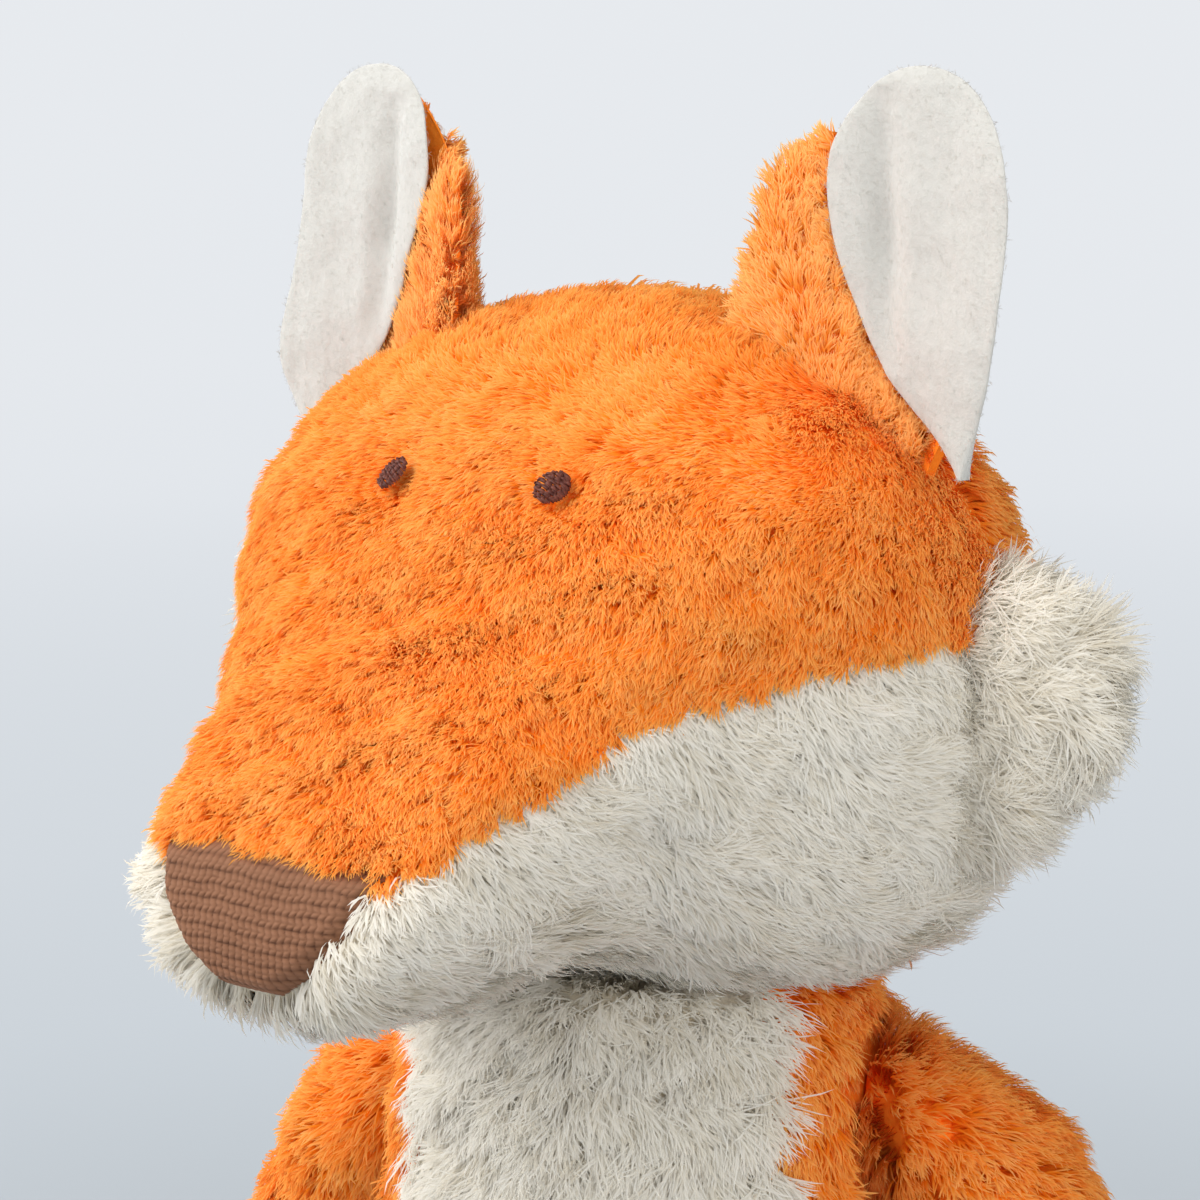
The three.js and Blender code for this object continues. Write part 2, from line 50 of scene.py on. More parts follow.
def unit(vectors):
    return vectors / np.maximum(1e-9, np.linalg.norm(vectors, axis=-1, keepdims=True))


def rising(value, start, width):
    """0 up to start, then rising to 1 over the width."""
    return np.clip((value - start) / width, 0, 1)


def turn_about(axis, angle):
    """A turn about x, y or z, as a matrix."""
    cos, sin = math.cos(angle), math.sin(angle)
    turn = np.eye(3)
    a, b = {"x": (1, 2), "y": (2, 0), "z": (0, 1)}[axis]
    turn[a, a], turn[a, b], turn[b, a], turn[b, b] = cos, -sin, sin, cos
    return turn


def lobe_reach(lobe, heading):
    """How far an ellipsoid reaches from the bag's middle along each heading."""
    at, radii, tilt = lobe
    turn = turn_about("x", -tilt)
    start = (turn @ -np.array(at, float)) / radii
    ahead = (heading @ turn.T) / radii
    slope = ahead @ start
    square = (ahead**2).sum(1)
    inside = np.maximum(0, slope**2 - square * (start @ start - 1))
    return np.maximum(0, np.sqrt(inside) - slope) / square


def bag_reach(lobes, flats, heading):
    """How far a bag of several lobes reaches, where flat places hold it back."""
    full = sum(lobe_reach(lobe, heading) ** LOBE_SHARPNESS for lobe in lobes)
    reach = full ** (1 / LOBE_SHARPNESS)
    drawn = np.ones(len(heading))
    for facing, distance in flats:
        limit = reach * np.maximum(0, heading @ np.array(facing)) / distance
        drawn += limit**FLAT_SHARPNESS
    return reach / drawn ** (1 / FLAT_SHARPNESS)


def vertex_normals(points, triangles):
    a, b, c = (points[triangles[:, i]] for i in range(3))
    flat = np.cross(b - a, c - a)
    total = np.zeros_like(points)
    for i in range(3):
        for axis in range(3):
            total[:, axis] += np.bincount(triangles[:, i], flat[:, axis], len(points))
    return unit(total)


def ball(subdivisions):
    made = bmesh.new()
    bmesh.ops.create_icosphere(made, subdivisions=subdivisions, radius=1)
    points = np.array([v.co for v in made.verts])
    triangles = np.array([[v.index for v in f.verts] for f in made.faces])
    made.free()
    return points, triangles


def bag(lobes, flats, stretch, middle, subdivisions, inset):
    sphere, triangles = ball(subdivisions)
    heading = unit(sphere * stretch)
    points = heading * bag_reach(lobes, flats, heading)[:, None]
    points = points - inset * vertex_normals(points, triangles)
    return points + middle, triangles


def relaxed(points, triangles, rounds):
    """The points, drawn toward their neighbours so that creases soften."""
    a, b = triangles.ravel(), np.roll(triangles, 1, axis=1).ravel()
    count = len(points)
    degree = np.bincount(a, minlength=count) + np.bincount(b, minlength=count)
    for _ in range(rounds):
        total = [
            np.bincount(a, points[b, k], count) + np.bincount(b, points[a, k], count)
            for k in range(3)
        ]
        points = (points + np.stack(total, 1) / degree[:, None]) / 2
    return points


def pressed(points, place, facing, depth=0):
    """The points, with those beyond a plane pressed flat onto it."""
    beyond = (points - place) @ np.array(facing, float) + depth
    return points - np.maximum(0, beyond)[:, None] * np.array(facing, float)


def srgb(red, green, blue):
    return [
        ((v / 255 + 0.055) / 1.055) ** 2.4 if v > 10 else v / 3295 for v in (red, green, blue)
    ] + [1.0]


def new_node(nodes, kind, sockets=None, **settings):
    """A shader node with its settings and the values of its sockets."""
    made = nodes.new(kind)
    for setting, value in settings.items():
        setattr(made, setting, value)
    for socket, value in (sockets or {}).items():
        made.inputs[socket].default_value = value
    return made


def mixed(nodes, links, factor, first, second, blend="MIX"):
    """A mix of two colours. Each of the three is an output or a plain value."""
    mix = new_node(nodes, "ShaderNodeMix", data_type="RGBA", blend_type=blend)
    for socket, value in ((0, factor), (6, first), (7, second)):
        if isinstance(value, bpy.types.NodeSocket):
            links.new(value, mix.inputs[socket])
        else:
            mix.inputs[socket].default_value = value
    return mix.outputs[2]


NUMBER, COLOUR = "NodeSocketFloat", "NodeSocketColor"


def new_group(name, inputs, outputs):
    """A node group with its named inputs and outputs, and the nodes that hold them."""
    group = bpy.data.node_groups.new(name, "ShaderNodeTree")
    for way, sockets in (("INPUT", inputs), ("OUTPUT", outputs)):
        for label, kind in sockets.items():
            group.interface.new_socket(name=label, in_out=way, socket_type=kind)
    given, wanted = group.nodes.new("NodeGroupInput"), group.nodes.new("NodeGroupOutput")
    return group, group.nodes, group.links, given.outputs, wanted.inputs


def new_material(name, sockets):
    """A material with one Principled shader."""
    material = bpy.data.materials.new(name)
    material.use_nodes = True
    nodes, links = material.node_tree.nodes, material.node_tree.links
    nodes.clear()
    out = new_node(nodes, "ShaderNodeOutputMaterial")
    shader = new_node(nodes, "ShaderNodeBsdfPrincipled", sockets)
    links.new(shader.outputs[0], out.inputs[0])
    return material, nodes, links, shader


# Matted grain: the uneven colour and surface of a knitted backing, felt or thread.
matted_grain, nodes, links, given, wanted = new_group(
    "matted_grain",
    {
        **dict.fromkeys(("Scale", "Detail", "Coarseness", "Low", "High"), NUMBER),
        **dict.fromkeys(("Dark", "Light"), COLOUR),
        **dict.fromkeys(("Strength", "Depth"), NUMBER),
    },
    {"Colour": COLOUR, "Normal": "NodeSocketVector"},
)
spot = new_node(nodes, "ShaderNodeTexCoord")
noise = new_node(nodes, "ShaderNodeTexNoise")
spread_out = new_node(nodes, "ShaderNodeMapRange")
bump = new_node(nodes, "ShaderNodeBump")
for source, target in (
    (spot.outputs["Object"], noise.inputs["Vector"]),
    (given["Scale"], noise.inputs["Scale"]),
    (given["Detail"], noise.inputs["Detail"]),
    (given["Coarseness"], noise.inputs["Roughness"]),
    (noise.outputs[0], spread_out.inputs["Value"]),
    (given["Low"], spread_out.inputs["From Min"]),
    (given["High"], spread_out.inputs["From Max"]),
    (noise.outputs[0], bump.inputs["Height"]),
    (given["Strength"], bump.inputs["Strength"]),
    (given["Depth"], bump.inputs["Distance"]),
    (bump.outputs[0], wanted["Normal"]),
):
    links.new(source, target)
links.new(
    mixed(nodes, links, spread_out.outputs[0], given["Dark"], given["Light"]), wanted["Colour"]
)


def matted_material(name, grain, sockets):
    """A material whose colour and surface come from the matted grain."""
    material, nodes, links, shader = new_material(name, sockets)
    placed = new_node(nodes, "ShaderNodeGroup", grain, node_tree=matted_grain)
    links.new(placed.outputs["Colour"], shader.inputs["Base Color"])
    if "Strength" in grain:
        links.new(placed.outputs["Normal"], shader.inputs["Normal"])
    return material


def backing_material(name, dark, light):
    """The knitted backing that shows between the locks."""
    grain = {
        "Scale": 900, "Detail": 3, "Coarseness": 0.5, "Low": 0.3, "High": 0.7,
        "Dark": dark, "Light": light, "Strength": 0.4, "Depth": 0.0004,
    }
    return matted_material(name, grain, {"Roughness": 0.95, "Specular IOR Level": 0.1})


orange_backing = backing_material("orange_backing", srgb(252, 132, 34), srgb(255, 146, 46))
cream_backing = backing_material("cream_backing", srgb(236, 226, 206), srgb(246, 238, 222))


def mesh_of(name, points, triangles, material, uv=None, facing=None):
    """One piece, its points given in millimetres in the row frame."""
    mesh = bpy.data.meshes.new(name)
    mesh.vertices.add(len(points))
    mesh.vertices.foreach_set("co", (points * MM).astype(np.float32).ravel())
    mesh.loops.add(triangles.size)
    mesh.loops.foreach_set("vertex_index", triangles.astype(np.int32).ravel())
    mesh.polygons.add(len(triangles))
    mesh.polygons.foreach_set("loop_start", np.arange(0, triangles.size, 3, dtype=np.int32))
    if uv is not None:
        layer = mesh.uv_layers.new(name="OFBake")
        layer.data.foreach_set("uv", uv[triangles.ravel()].astype(np.float32).ravel())
    mesh.update(calc_edges=True)
    mesh.polygons.foreach_set("use_smooth", np.ones(len(triangles), bool))
    if facing is not None:
        normals = mesh.attributes.new("custom_normal", "FLOAT_VECTOR", "POINT")
        normals.data.foreach_set("vector", facing.astype(np.float32).ravel())
    mesh.materials.append(material)
    piece = bpy.data.objects.new(name, mesh)
    bpy.context.scene.collection.objects.link(piece)
    return piece


def used_part(points, triangles):
    """The points that the triangles use, and the triangles renumbered to them."""
    used, renumbered = np.unique(triangles, return_inverse=True)
    return used, points[used], renumbered.reshape(-1, 3)


def fitted_piece(name, points, triangles, material, body, uv=None, node=None):
    """A piece that stands for a CAD node, the one of its own name unless another is given."""
    piece = mesh_of(name, points, triangles, material, uv)
    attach(piece, body)
    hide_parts(node or name)


def panel(name, points, triangles, material, body):
    """The backing cloth of one sewn panel."""
    _, points, triangles = used_part(points, triangles)
    fitted_piece(name, points, triangles, material, body)


NECK_HEIGHT = 140
HEAD_HALF = np.array([66.5, 49.0, 48.0])
HEAD_MIDDLE = np.array([0.0, -12.0, 56.0])
HEAD_TURN = math.radians(-17)
BROW_TILT = math.radians(42)
BROW_REACH = 37
HEAD_DEPTH = 57
MUZZLE_REACH = 79
MUZZLE_DROP = 36
CHEEK_AT = np.array([0.39, 0.1, -0.44])
CHEEK_SIZE = np.array([0.57, 0.74, 0.8])
DOWNWARD = (0, 0, -1)

head_lobes = [
    (np.array([0, 0.08, 0]) * HEAD_HALF, HEAD_HALF, 0),
    (CHEEK_AT * HEAD_HALF, CHEEK_SIZE * HEAD_HALF, 0),
    (CHEEK_AT * [-1, 1, 1] * HEAD_HALF, CHEEK_SIZE * HEAD_HALF, 0),
    (
        np.array([0, -MUZZLE_REACH * 0.4, -MUZZLE_DROP * 0.62]),
        np.array([34, MUZZLE_REACH * 0.86, 28]),
        math.atan2(MUZZLE_DROP / 2, MUZZLE_REACH),
    ),
]
head_flats = [
    ((0, -math.cos(BROW_TILT), math.sin(BROW_TILT)), BROW_REACH),
    ((0, -1, 0), MUZZLE_REACH),
    (DOWNWARD, HEAD_DEPTH),
]
head_stretch = np.array([HEAD_HALF[0], MUZZLE_REACH * 1.05, HEAD_HALF[2]])

SIDE_SEAM_Y = HEAD_MIDDLE[1] + 0.19 * HEAD_HALF[1]
SEAM_X = np.array([0.27, 0.35, 0.43, 0.54, 0.67, 0.92, 1, 1.4]) * HEAD_HALF[0]
SEAM_Z = HEAD_MIDDLE[2] + HEAD_HALF[2] * np.array(
    [-0.62, -0.55, -0.39, -0.2, -0.1, 0.01, 0.06, 0.15]
)
NOSE_OUTLINE = np.array([
    [-1, 0.9], [-0.6, 1], [0.6, 1], [1, 0.9], [0.86, 0.2], [0.55, -0.55], [0.25, -0.95],
    [-0.25, -0.95], [-0.55, -0.55], [-0.86, 0.2],
]) * [19, 9] + [0, HEAD_MIDDLE[2] - MUZZLE_DROP]
NOSE_DEPTH = 14
FAR_OUTSIDE = -50.0


def turned_head(directions):
    """Directions in head coordinates to the row frame."""
    return directions @ turn_about("z", HEAD_TURN).T


def on_neck(points):
    """Head coordinates to the row frame."""
    return turned_head(points) + [0, 0, NECK_HEIGHT]


def above_seam(points):
    """How far above the face seam, in millimetres."""
    return points[:, 2] - np.interp(np.abs(points[:, 0]), SEAM_X, SEAM_Z)


def polygon_distance(points, outline):
    """Distance inside an outline, negative outside."""
    inside = np.zeros(len(points), bool)
    nearest = np.full(len(points), 1e9)
    for a, b in zip(outline, np.roll(outline, -1, axis=0), strict=True):
        edge = b - a
        share = np.clip((points - a) @ edge / (edge @ edge), 0, 1)
        nearest = np.minimum(nearest, np.linalg.norm(points - a - share[:, None] * edge, axis=1))
        crosses = (a[1] > points[:, 1]) != (b[1] > points[:, 1])
        with np.errstate(divide="ignore", invalid="ignore"):
            at = a[0] + (points[:, 1] - a[1]) * edge[0] / edge[1]
        inside ^= crosses & (points[:, 0] < at)
    return np.where(inside, nearest, -nearest)


def in_nose(points):
    inside = polygon_distance(points[:, [0, 2]], NOSE_OUTLINE)
    at_tip = points[:, 1] < HEAD_MIDDLE[1] - MUZZLE_REACH + NOSE_DEPTH
    return np.where(at_tip, inside, FAR_OUTSIDE)


# The cloth keeps its form at the muzzle's tip, softens behind it, fills out its hollows, and
# bulges a little at the cheeks beside the muzzle.
CHEEK_BULGE, BULGE_SIZE = 5.0, 15
head_points, head_triangles = bag(head_lobes, head_flats, head_stretch, HEAD_MIDDLE, 6, PILE_DEPTH)
behind_tip = rising(head_points[:, 1:2], -84, 16)
head_points += behind_tip * (relaxed(head_points, head_triangles, 16) - head_points)
outward = vertex_normals(head_points, head_triangles)
smooth = relaxed(head_points, head_triangles, 160)
hollow = ((smooth - head_points) * outward).sum(1, keepdims=True)
head_points += np.clip(hollow, 0, 5) * outward * rising(head_points[:, 2:], 26, 12)
for side in (1, -1):
    away = np.linalg.norm(head_points - [side * 34, -53, 47], axis=1, keepdims=True)
    bulge = CHEEK_BULGE * np.exp(-((away / BULGE_SIZE) ** 2))
    head_points += bulge * np.array([side * 0.77, -0.64, 0])
head_points = pressed(head_points, (0, 0, 1.0), DOWNWARD)
HEAD_FLOOR = head_points[:, 2].min()

centres = head_points[head_triangles].mean(1)
behind = centres[:, 1] > SIDE_SEAM_Y
over = above_seam(centres) > 0
nosy = in_nose(centres) > 0.5
for name, keep, backing, slot in (
    ("face_panel", ~behind & over & ~nosy, orange_backing, "orange_plush"),
    ("jaw_panel", ~behind & ~over & ~nosy, cream_backing, "cream_plush"),
    ("head_back_panel", behind, orange_backing, "orange_plush"),
):
    panel(name, on_neck(head_points), head_triangles[keep], backing, "head")

# Face pile: long fine fibres that stand in the backing and gather into small locks. They are
# about 5 mm long, combed down over the face seam, forward along the muzzle and back on the crown.
PARTS_OF_FIBRE = ((0.0, 0.8), (0.4, 1.0), (0.8, 0.75), (1.0, 0.0))
RIBBON = np.array([[0, 1, 3], [0, 3, 2], [2, 3, 5], [2, 5, 4], [4, 5, 6]])
SHADOW_PASSED = 0.4
WHITE = (1, 1, 1, 1)
UPWARD = (0, 0, 1)


def drift(points, size, seed, count=5):
    """Smooth noise from about -1 to 1, whose patches are about size across."""
    rng = np.random.default_rng(seed)
    waves = unit(rng.normal(size=(count, 3))) * (rng.uniform(0.6, 1.5, (count, 1)) * np.pi / size)
    phase = rng.uniform(0, 2 * np.pi, count)
    return np.sin(points @ waves.T + phase).sum(1) / math.sqrt(count)


def drifts(points, size, seed):
    """Three such noises, as directions."""
    return np.stack([drift(points, size, seed + k) for k in range(3)], 1)


def ways(x, y, z):
    """Directions from their three parts, each a number or one per place."""
    return np.stack(np.broadcast_arrays(x, y, z), 1)


def scatter(points, triangles, spacing, weight, rng):
    """Places on the surface about spacing apart, with their normals."""
    normals = vertex_normals(points, triangles)
    a, b, c = (points[triangles[:, i]] for i in range(3))
    area = np.linalg.norm(np.cross(b - a, c - a), axis=1) / 2
    total = np.cumsum(area * weight((a + b + c) / 3))
    count = int(total[-1] / spacing**2)
    chosen = np.searchsorted(total, (np.arange(count) + rng.random(count)) / count * total[-1])
    chosen = np.minimum(chosen, len(triangles) - 1)
    u, v = np.sqrt(rng.random(count)), rng.random(count)
    shares = np.stack([1 - u, u * (1 - v), u * v], 1)
    corner = triangles[chosen]
    place = sum(points[corner[:, i]] * shares[:, i : i + 1] for i in range(3))
    normal = unit(sum(normals[corner[:, i]] * shares[:, i : i + 1] for i in range(3)))
    return place, normal


def locks(place, normal, comb, lean, length, rng, *, strands, spread, width, clump=0.7,
          stray=0.2, tone=0.0, own=0.12):
    """Flat fibres with a pointed tip, several to a lock. comb is the way that the pile lies,
    lean how far it lies down, from 0 to 1, and length the fibres', each a number or one per
    place. They rise at the root and lie down at the tip, and their normals follow the cloth's
    with a share of their own."""
    count = len(place)
    lean, length, tone = (np.broadcast_to(v, count) for v in (lean, length, tone))
    flow = unit(comb - (comb * normal).sum(1, keepdims=True) * normal)
    first = unit(np.cross(normal, flow))
    who = np.repeat(np.arange(count), strands)
    n, f, s = normal[who], flow[who], first[who]
    total = len(who)
    angle, far = rng.uniform(0, 2 * np.pi, total), np.sqrt(rng.random(total)) * spread
    offset = (np.cos(angle) * far)[:, None] * s + (np.sin(angle) * far)[:, None] * f
    root = place[who] + offset - 0.4 * n
    turn = rng.normal(0, stray, total) + np.repeat(rng.normal(0, stray, count), strands)
    flow = np.cos(turn)[:, None] * f + np.sin(turn)[:, None] * s
    across = np.cos(turn)[:, None] * s - np.sin(turn)[:, None] * f
    lie = np.clip(lean[who] + rng.normal(0, 0.07, total), 0.1, 0.97)[:, None]
    long = (length[who] * rng.uniform(0.78, 1.08, total))[:, None]
    high = long * np.sqrt(1 - lie**2)
    bend = long * rng.normal(0, 0.16, (total, 1))
    thick = (width * rng.uniform(0.7, 1.3, total))[:, None]
    twist = rng.normal(0, 0.3, (total, 1))
    side = unit(across + twist * n)
    points, facing, uv = (np.empty((total, 7, parts)) for parts in (3, 3, 2))
    for k, (along, wide) in enumerate(PARTS_OF_FIBRE):
        rise = high * (1 - (1 - along) ** 2)
        spot = root + rise * n + long * lie * along**1.25 * flow
        spot = spot + bend * along**2 * across - offset * clump * along
        sideways = 1.25 * long * lie * flow + 2 * bend * along * across
        face = unit(np.cross(unit(2 * high * (1 - along) * n + sideways), side))
        face *= np.sign((face * n).sum(1, keepdims=True))
        turned = unit(n * (1 - own) + own * face)
        if k < 3:
            for corner, edge in ((2 * k, -1), (2 * k + 1, 1)):
                points[:, corner] = spot + edge * 0.5 * thick * wide * side
                facing[:, corner] = unit(turned + edge * 0.12 * side)
            uv[:, 2 * k : 2 * k + 2, 1] = 0.02 + 0.96 * along
        else:
            points[:, 6], facing[:, 6], uv[:, 6, 1] = spot, turned, 0.98
    front = np.cross(points[:, 3] - points[:, 2], points[:, 5] - points[:, 2])
    inward = (front * n).sum(1) < 0
    triangles = np.where(inward[:, None, None], RIBBON[None, :, ::-1], RIBBON[None])
    triangles = (triangles + 7 * np.arange(total)[:, None, None]).reshape(-1, 3)
    shade = 0.5 + tone[who] + rng.normal(0, 0.1, total)
    shade += np.repeat(rng.normal(0, 0.1, count), strands)
    uv[:, :, 0] = np.clip(shade, 0.01, 0.99)[:, None]
    return points.reshape(-1, 3), triangles, uv.reshape(-1, 2), facing.reshape(-1, 3)


# Fibre colour: runs along the fibre from the backing to its tip, and tints each lock by its tone,
# which differs at random. Around the plush's own body colour, the deeper colour toward the root is
# painted shade down in the pile, and the paler tip is a painted highlight where the tips take the
# light. The mesh's UV map holds the tone across and the place on the fibre up.
fibre_colour_and_painted_light, nodes, links, given, wanted = new_group(
    "fibre_colour_and_painted_light", dict.fromkeys(("Deep", "Body", "Tip", "Dark", "Light"), COLOUR),
    {"Colour": COLOUR},
)
uv_map = new_node(nodes, "ShaderNodeUVMap", uv_map="OFBake")
split = new_node(nodes, "ShaderNodeSeparateXYZ")
links.new(uv_map.outputs[0], split.inputs[0])
tints = []
for axis, low_colour, mid_colour, high_colour in (
    (1, given["Deep"], given["Body"], given["Tip"]),
    (0, given["Dark"], WHITE, given["Light"]),
):
    tint = low_colour
    for shift, colour in ((0, mid_colour), (-1, high_colour)):
        half = new_node(
            nodes, "ShaderNodeMath", {1: 2, 2: shift}, operation="MULTIPLY_ADD", use_clamp=True
        )
        links.new(split.outputs[axis], half.inputs[0])
        tint = mixed(nodes, links, half.outputs[0], tint, colour)
    tints.append(tint)
links.new(mixed(nodes, links, 1, *tints, "MULTIPLY"), wanted["Colour"])


def pile_material(name, deep, body, tip, dark, light, sheen, through_share=0.45):
    """Fibres that glow a little where light goes through them, and whose shadow is soft
    because real ones are finer and let part of the light past."""
    material, nodes, links, shader = new_material(name, {
        "Roughness": 0.8, "Specular IOR Level": 0.06, "Sheen Weight": sheen,
        "Sheen Roughness": 0.5, "Sheen Tint": tip,
    })
    # deep and tip paint shade toward the root and a highlight at the tip, around the plush's own
    # body colour.
    colour = new_node(nodes, "ShaderNodeGroup", {
        "Deep": deep, "Body": body, "Tip": tip, "Dark": (*dark, 1), "Light": (*light, 1),
    }, node_tree=fibre_colour_and_painted_light)
    through = new_node(nodes, "ShaderNodeBsdfTranslucent")
    both = new_node(nodes, "ShaderNodeMixShader", {0: through_share})
    path = new_node(nodes, "ShaderNodeLightPath")
    passed = new_node(nodes, "ShaderNodeMath", {1: SHADOW_PASSED}, operation="MULTIPLY")
    clear = new_node(nodes, "ShaderNodeBsdfTransparent")
    veil = new_node(nodes, "ShaderNodeMixShader")
    for source, target in (
        (colour.outputs[0], shader.inputs["Base Color"]),
        (colour.outputs[0], through.inputs["Color"]),
        (shader.outputs[0], both.inputs[1]),
        (through.outputs[0], both.inputs[2]),
        (path.outputs["Is Shadow Ray"], passed.inputs[0]),
        (passed.outputs[0], veil.inputs[0]),
        (both.outputs[0], veil.inputs[1]),
        (clear.outputs[0], veil.inputs[2]),
        (veil.outputs[0], nodes["Material Output"].inputs[0]),
    ):
        links.new(source, target)
    return material


def coat(name, made, material, body, place=on_neck, turn=turned_head, order=(0, 1, 2)):
    """The pile of one panel."""
    points, triangles, uv, facing = made
    piece = mesh_of(name, place(points), triangles[:, order], material, uv, turn(facing))
    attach(piece, body)


eyes_at = []
for side in (1, -1):
    ray = unit(np.array([[side * 15.5, -0.62 * HEAD_HALF[1], 21.0]]))
    eyes_at.append((ray * bag_reach(head_lobes, head_flats, ray)[:, None] + HEAD_MIDDLE)[0])


def from_eyes(points):
    return np.minimum(*(np.linalg.norm(points - eye, axis=1) for eye in eyes_at))


def on_face(p):
    clear = (in_nose(p) < -0.2) & (from_eyes(p) > 3.7)
    return (p[:, 1] < SIDE_SEAM_Y) & (above_seam(p) > 0) & clear


orange_pile = pile_material(
    "orange_pile", srgb(252, 124, 20), srgb(250, 147, 30), srgb(254, 204, 114),
    dark=(0.98, 0.78, 0.5), light=(1.0, 1.14, 1.5), sheen=0.6, through_share=0.5,
)
rng = np.random.default_rng(11)
place, normal = scatter(head_points, head_triangles, 0.94, on_face, rng)
crown = rising(place[:, 2], 72, 24)
comb = ways(
    np.tanh(place[:, 0] / 12) * 0.35 * (1 - crown) + 0.32 * drift(place, 9, 1),
    -0.6 + 1.4 * crown + 0.28 * drift(place, 11, 2),
    -0.8 + 1.1 * crown + 0.32 * drift(place, 10, 3),
)
comb += 3.2 * (crown * (1 - crown))[:, None] * unit(np.cross(normal, UPWARD))
temple = 4 * crown * (1 - crown) * rising(place[:, 0], 24, 14)
lean = np.clip(0.78 + 0.1 * drift(place, 5, 4) + 0.15 * temple, 0.5, 0.95)
length = 4.8 + 0.5 * drift(place, 4, 5) - 1.2 * temple
off_eye = rising(from_eyes(place), 3.5, 6)
nearest_eye = np.where(place[:, :1] > 0, eyes_at[0], eyes_at[1])
comb += (1 - off_eye)[:, None] * 1.3 * unit(place - nearest_eye)
tone = 0.2 * drift(place, 1.6, 6) + 0.12 * drift(place, 5, 9) + 0.08 * drift(place, 16, 7)
made = locks(place, normal, comb, lean, length * (0.4 + 0.6 * off_eye), rng,
             strands=14, spread=0.85, width=0.26, clump=0.85, tone=tone)
coat("face_pile", made, orange_pile, "head")

# Jaw pile: cream plush under the face seam, combed back and down from the muzzle's sides to
# the cheeks, and brushed out at the chin and into the side seams.
cream_pile = pile_material(
    "cream_pile", srgb(240, 233, 218), srgb(243, 239, 230), srgb(245, 242, 235),
    dark=(0.88, 0.85, 0.79), light=(1.0, 1.0, 1.0), sheen=0.2,
)
ABOVE_FLOOR = 0.5


def falling(value, start, width):
    """1 up to start, then falling to 0 over the width."""
    return np.clip(1 - (value - start) / width, 0, 1)


def on_jaw(p):
    below = (above_seam(p) < 0) & (in_nose(p) < -0.2)
    return (p[:, 1] < SIDE_SEAM_Y) & below & (p[:, 2] > HEAD_FLOOR + ABOVE_FLOOR)


rng = np.random.default_rng(12)
place, normal = scatter(head_points, head_triangles, 1.18, on_jaw, rng)
outside = np.sign(place[:, 0])
comb = ways(0.75 * outside, 0.45, -0.55) + [0.35, 0.35, 0.45] * drifts(place, 9, 21)
at_seam = rising(above_seam(place), -6, 6)
comb[:, 2] -= 1.2 * at_seam
chin = falling(place[:, 2], HEAD_FLOOR, 12) * rising(-place[:, 1], 45, 20)
rim = falling(place[:, 2], HEAD_FLOOR, 8)
comb += chin[:, None] * [0, -0.4, -1.6] + rim[:, None] * [0, 0, -0.8]
at_side = falling(-place[:, 1], -SIDE_SEAM_Y, 9) * (1 - rim)
comb += at_side[:, None] * ways(0.9 * outside, 1.0, 0.1)
lean = np.clip(0.85 + 0.07 * drift(place, 6, 24) + 0.05 * at_seam - 0.2 * at_side, 0.5, 0.95)
length = 6.4 + 1.0 * drift(place, 5, 25) - 1.6 * at_seam + 2.5 * chin + 2.5 * at_side
made = locks(place, normal, comb, lean, length, rng, strands=14, spread=1.0, width=0.31,
             tone=0.15 * drift(place, 2, 26) + 0.08 * drift(place, 8, 27))
coat("jaw_pile", made, cream_pile, "head")

# Back of the head: the same orange plush, combed down to the neck and kept short behind the
# cheek tufts.


def on_back(p):
    return (p[:, 1] > SIDE_SEAM_Y) & (p[:, 2] > HEAD_FLOOR + ABOVE_FLOOR)


rng = np.random.default_rng(13)
place, normal = scatter(head_points, head_triangles, 1.6, on_back, rng)
comb = [0, 0.35, -0.9] + [0.4, 0.3, 0.3] * drifts(place, 9, 31)
rim = falling(place[:, 2], HEAD_FLOOR, 8)
comb[:, 2] -= 0.8 * rim
lean = np.clip(np.clip(0.78 + 0.1 * drift(place, 6, 34), 0.4, 0.95) + 0.1 * rim, 0.4, 0.95)
low_side = falling(place[:, 1], SIDE_SEAM_Y, 9) * falling(place[:, 2], 42, 10)
comb += low_side[:, None] * ways(-0.6 * np.sign(place[:, 0]), 0.8, 0.6)
length = (6.2 + 0.8 * drift(place, 5, 35) + 3.5 * rim) * (1 - 0.45 * low_side)
made = locks(place, normal, comb, lean, length, rng, strands=9, spread=1.1, width=0.5,
             tone=0.12 * drift(place, 5, 36))
coat("head_back_pile", made, orange_pile, "head")

# Filling: loose polyester fibre inside each form, packed firmly and hidden by the covers.
# Each piece of it is the form's core, and rides with the cover.
CORE_DEPTH = 6.5
filling_material = backing_material("filling", srgb(236, 233, 226), srgb(246, 244, 240))


def filling(part, points, triangles, body):
    fitted_piece(
        f"{part}_filling", points, triangles, filling_material, body,
        node=f"{part}_stuffing",
    )


core_points, core_triangles = bag(head_lobes, head_flats, head_stretch, HEAD_MIDDLE, 4, CORE_DEPTH)
core_points = pressed(core_points, (0, 0, 3.0), DOWNWARD)
filling("head", on_neck(core_points), core_triangles, "head")

# Nose patch: a brown knitted cloth let into the muzzle's tip. Its rows run across, each of
# two rows of stitches that slant against each other, and its edge turns in at the seam.
STITCH = 1.25
ROW = 1.75
NOSE_STEP = 0.2
LOOP_HEIGHT = 0.34
ROW_HEIGHT = 0.16


def head_front(x, z, inset):
    """Y of the head's front above x and z, measured from the head's middle."""
    near, far = np.full(len(x), -95.0), np.full(len(x), 0.0)
    for _ in range(30):
        half = (near + far) / 2
        points = np.stack([x, half, z], 1)
        reach = np.linalg.norm(points, axis=1)
        outside = reach > bag_reach(head_lobes, head_flats, points / reach[:, None])
        near, far = np.where(outside, half, near), np.where(outside, far, half)
    return (near + far) / 2 + inset


def ramp_node(nodes, stops):
    ramp = new_node(nodes, "ShaderNodeValToRGB")
    elements = ramp.color_ramp.elements
    while len(elements) < len(stops):
        elements.new(0.5)
    for element, (place, colour) in zip(elements, stops, strict=True):
        element.position = place
        element.color = colour
    return ramp


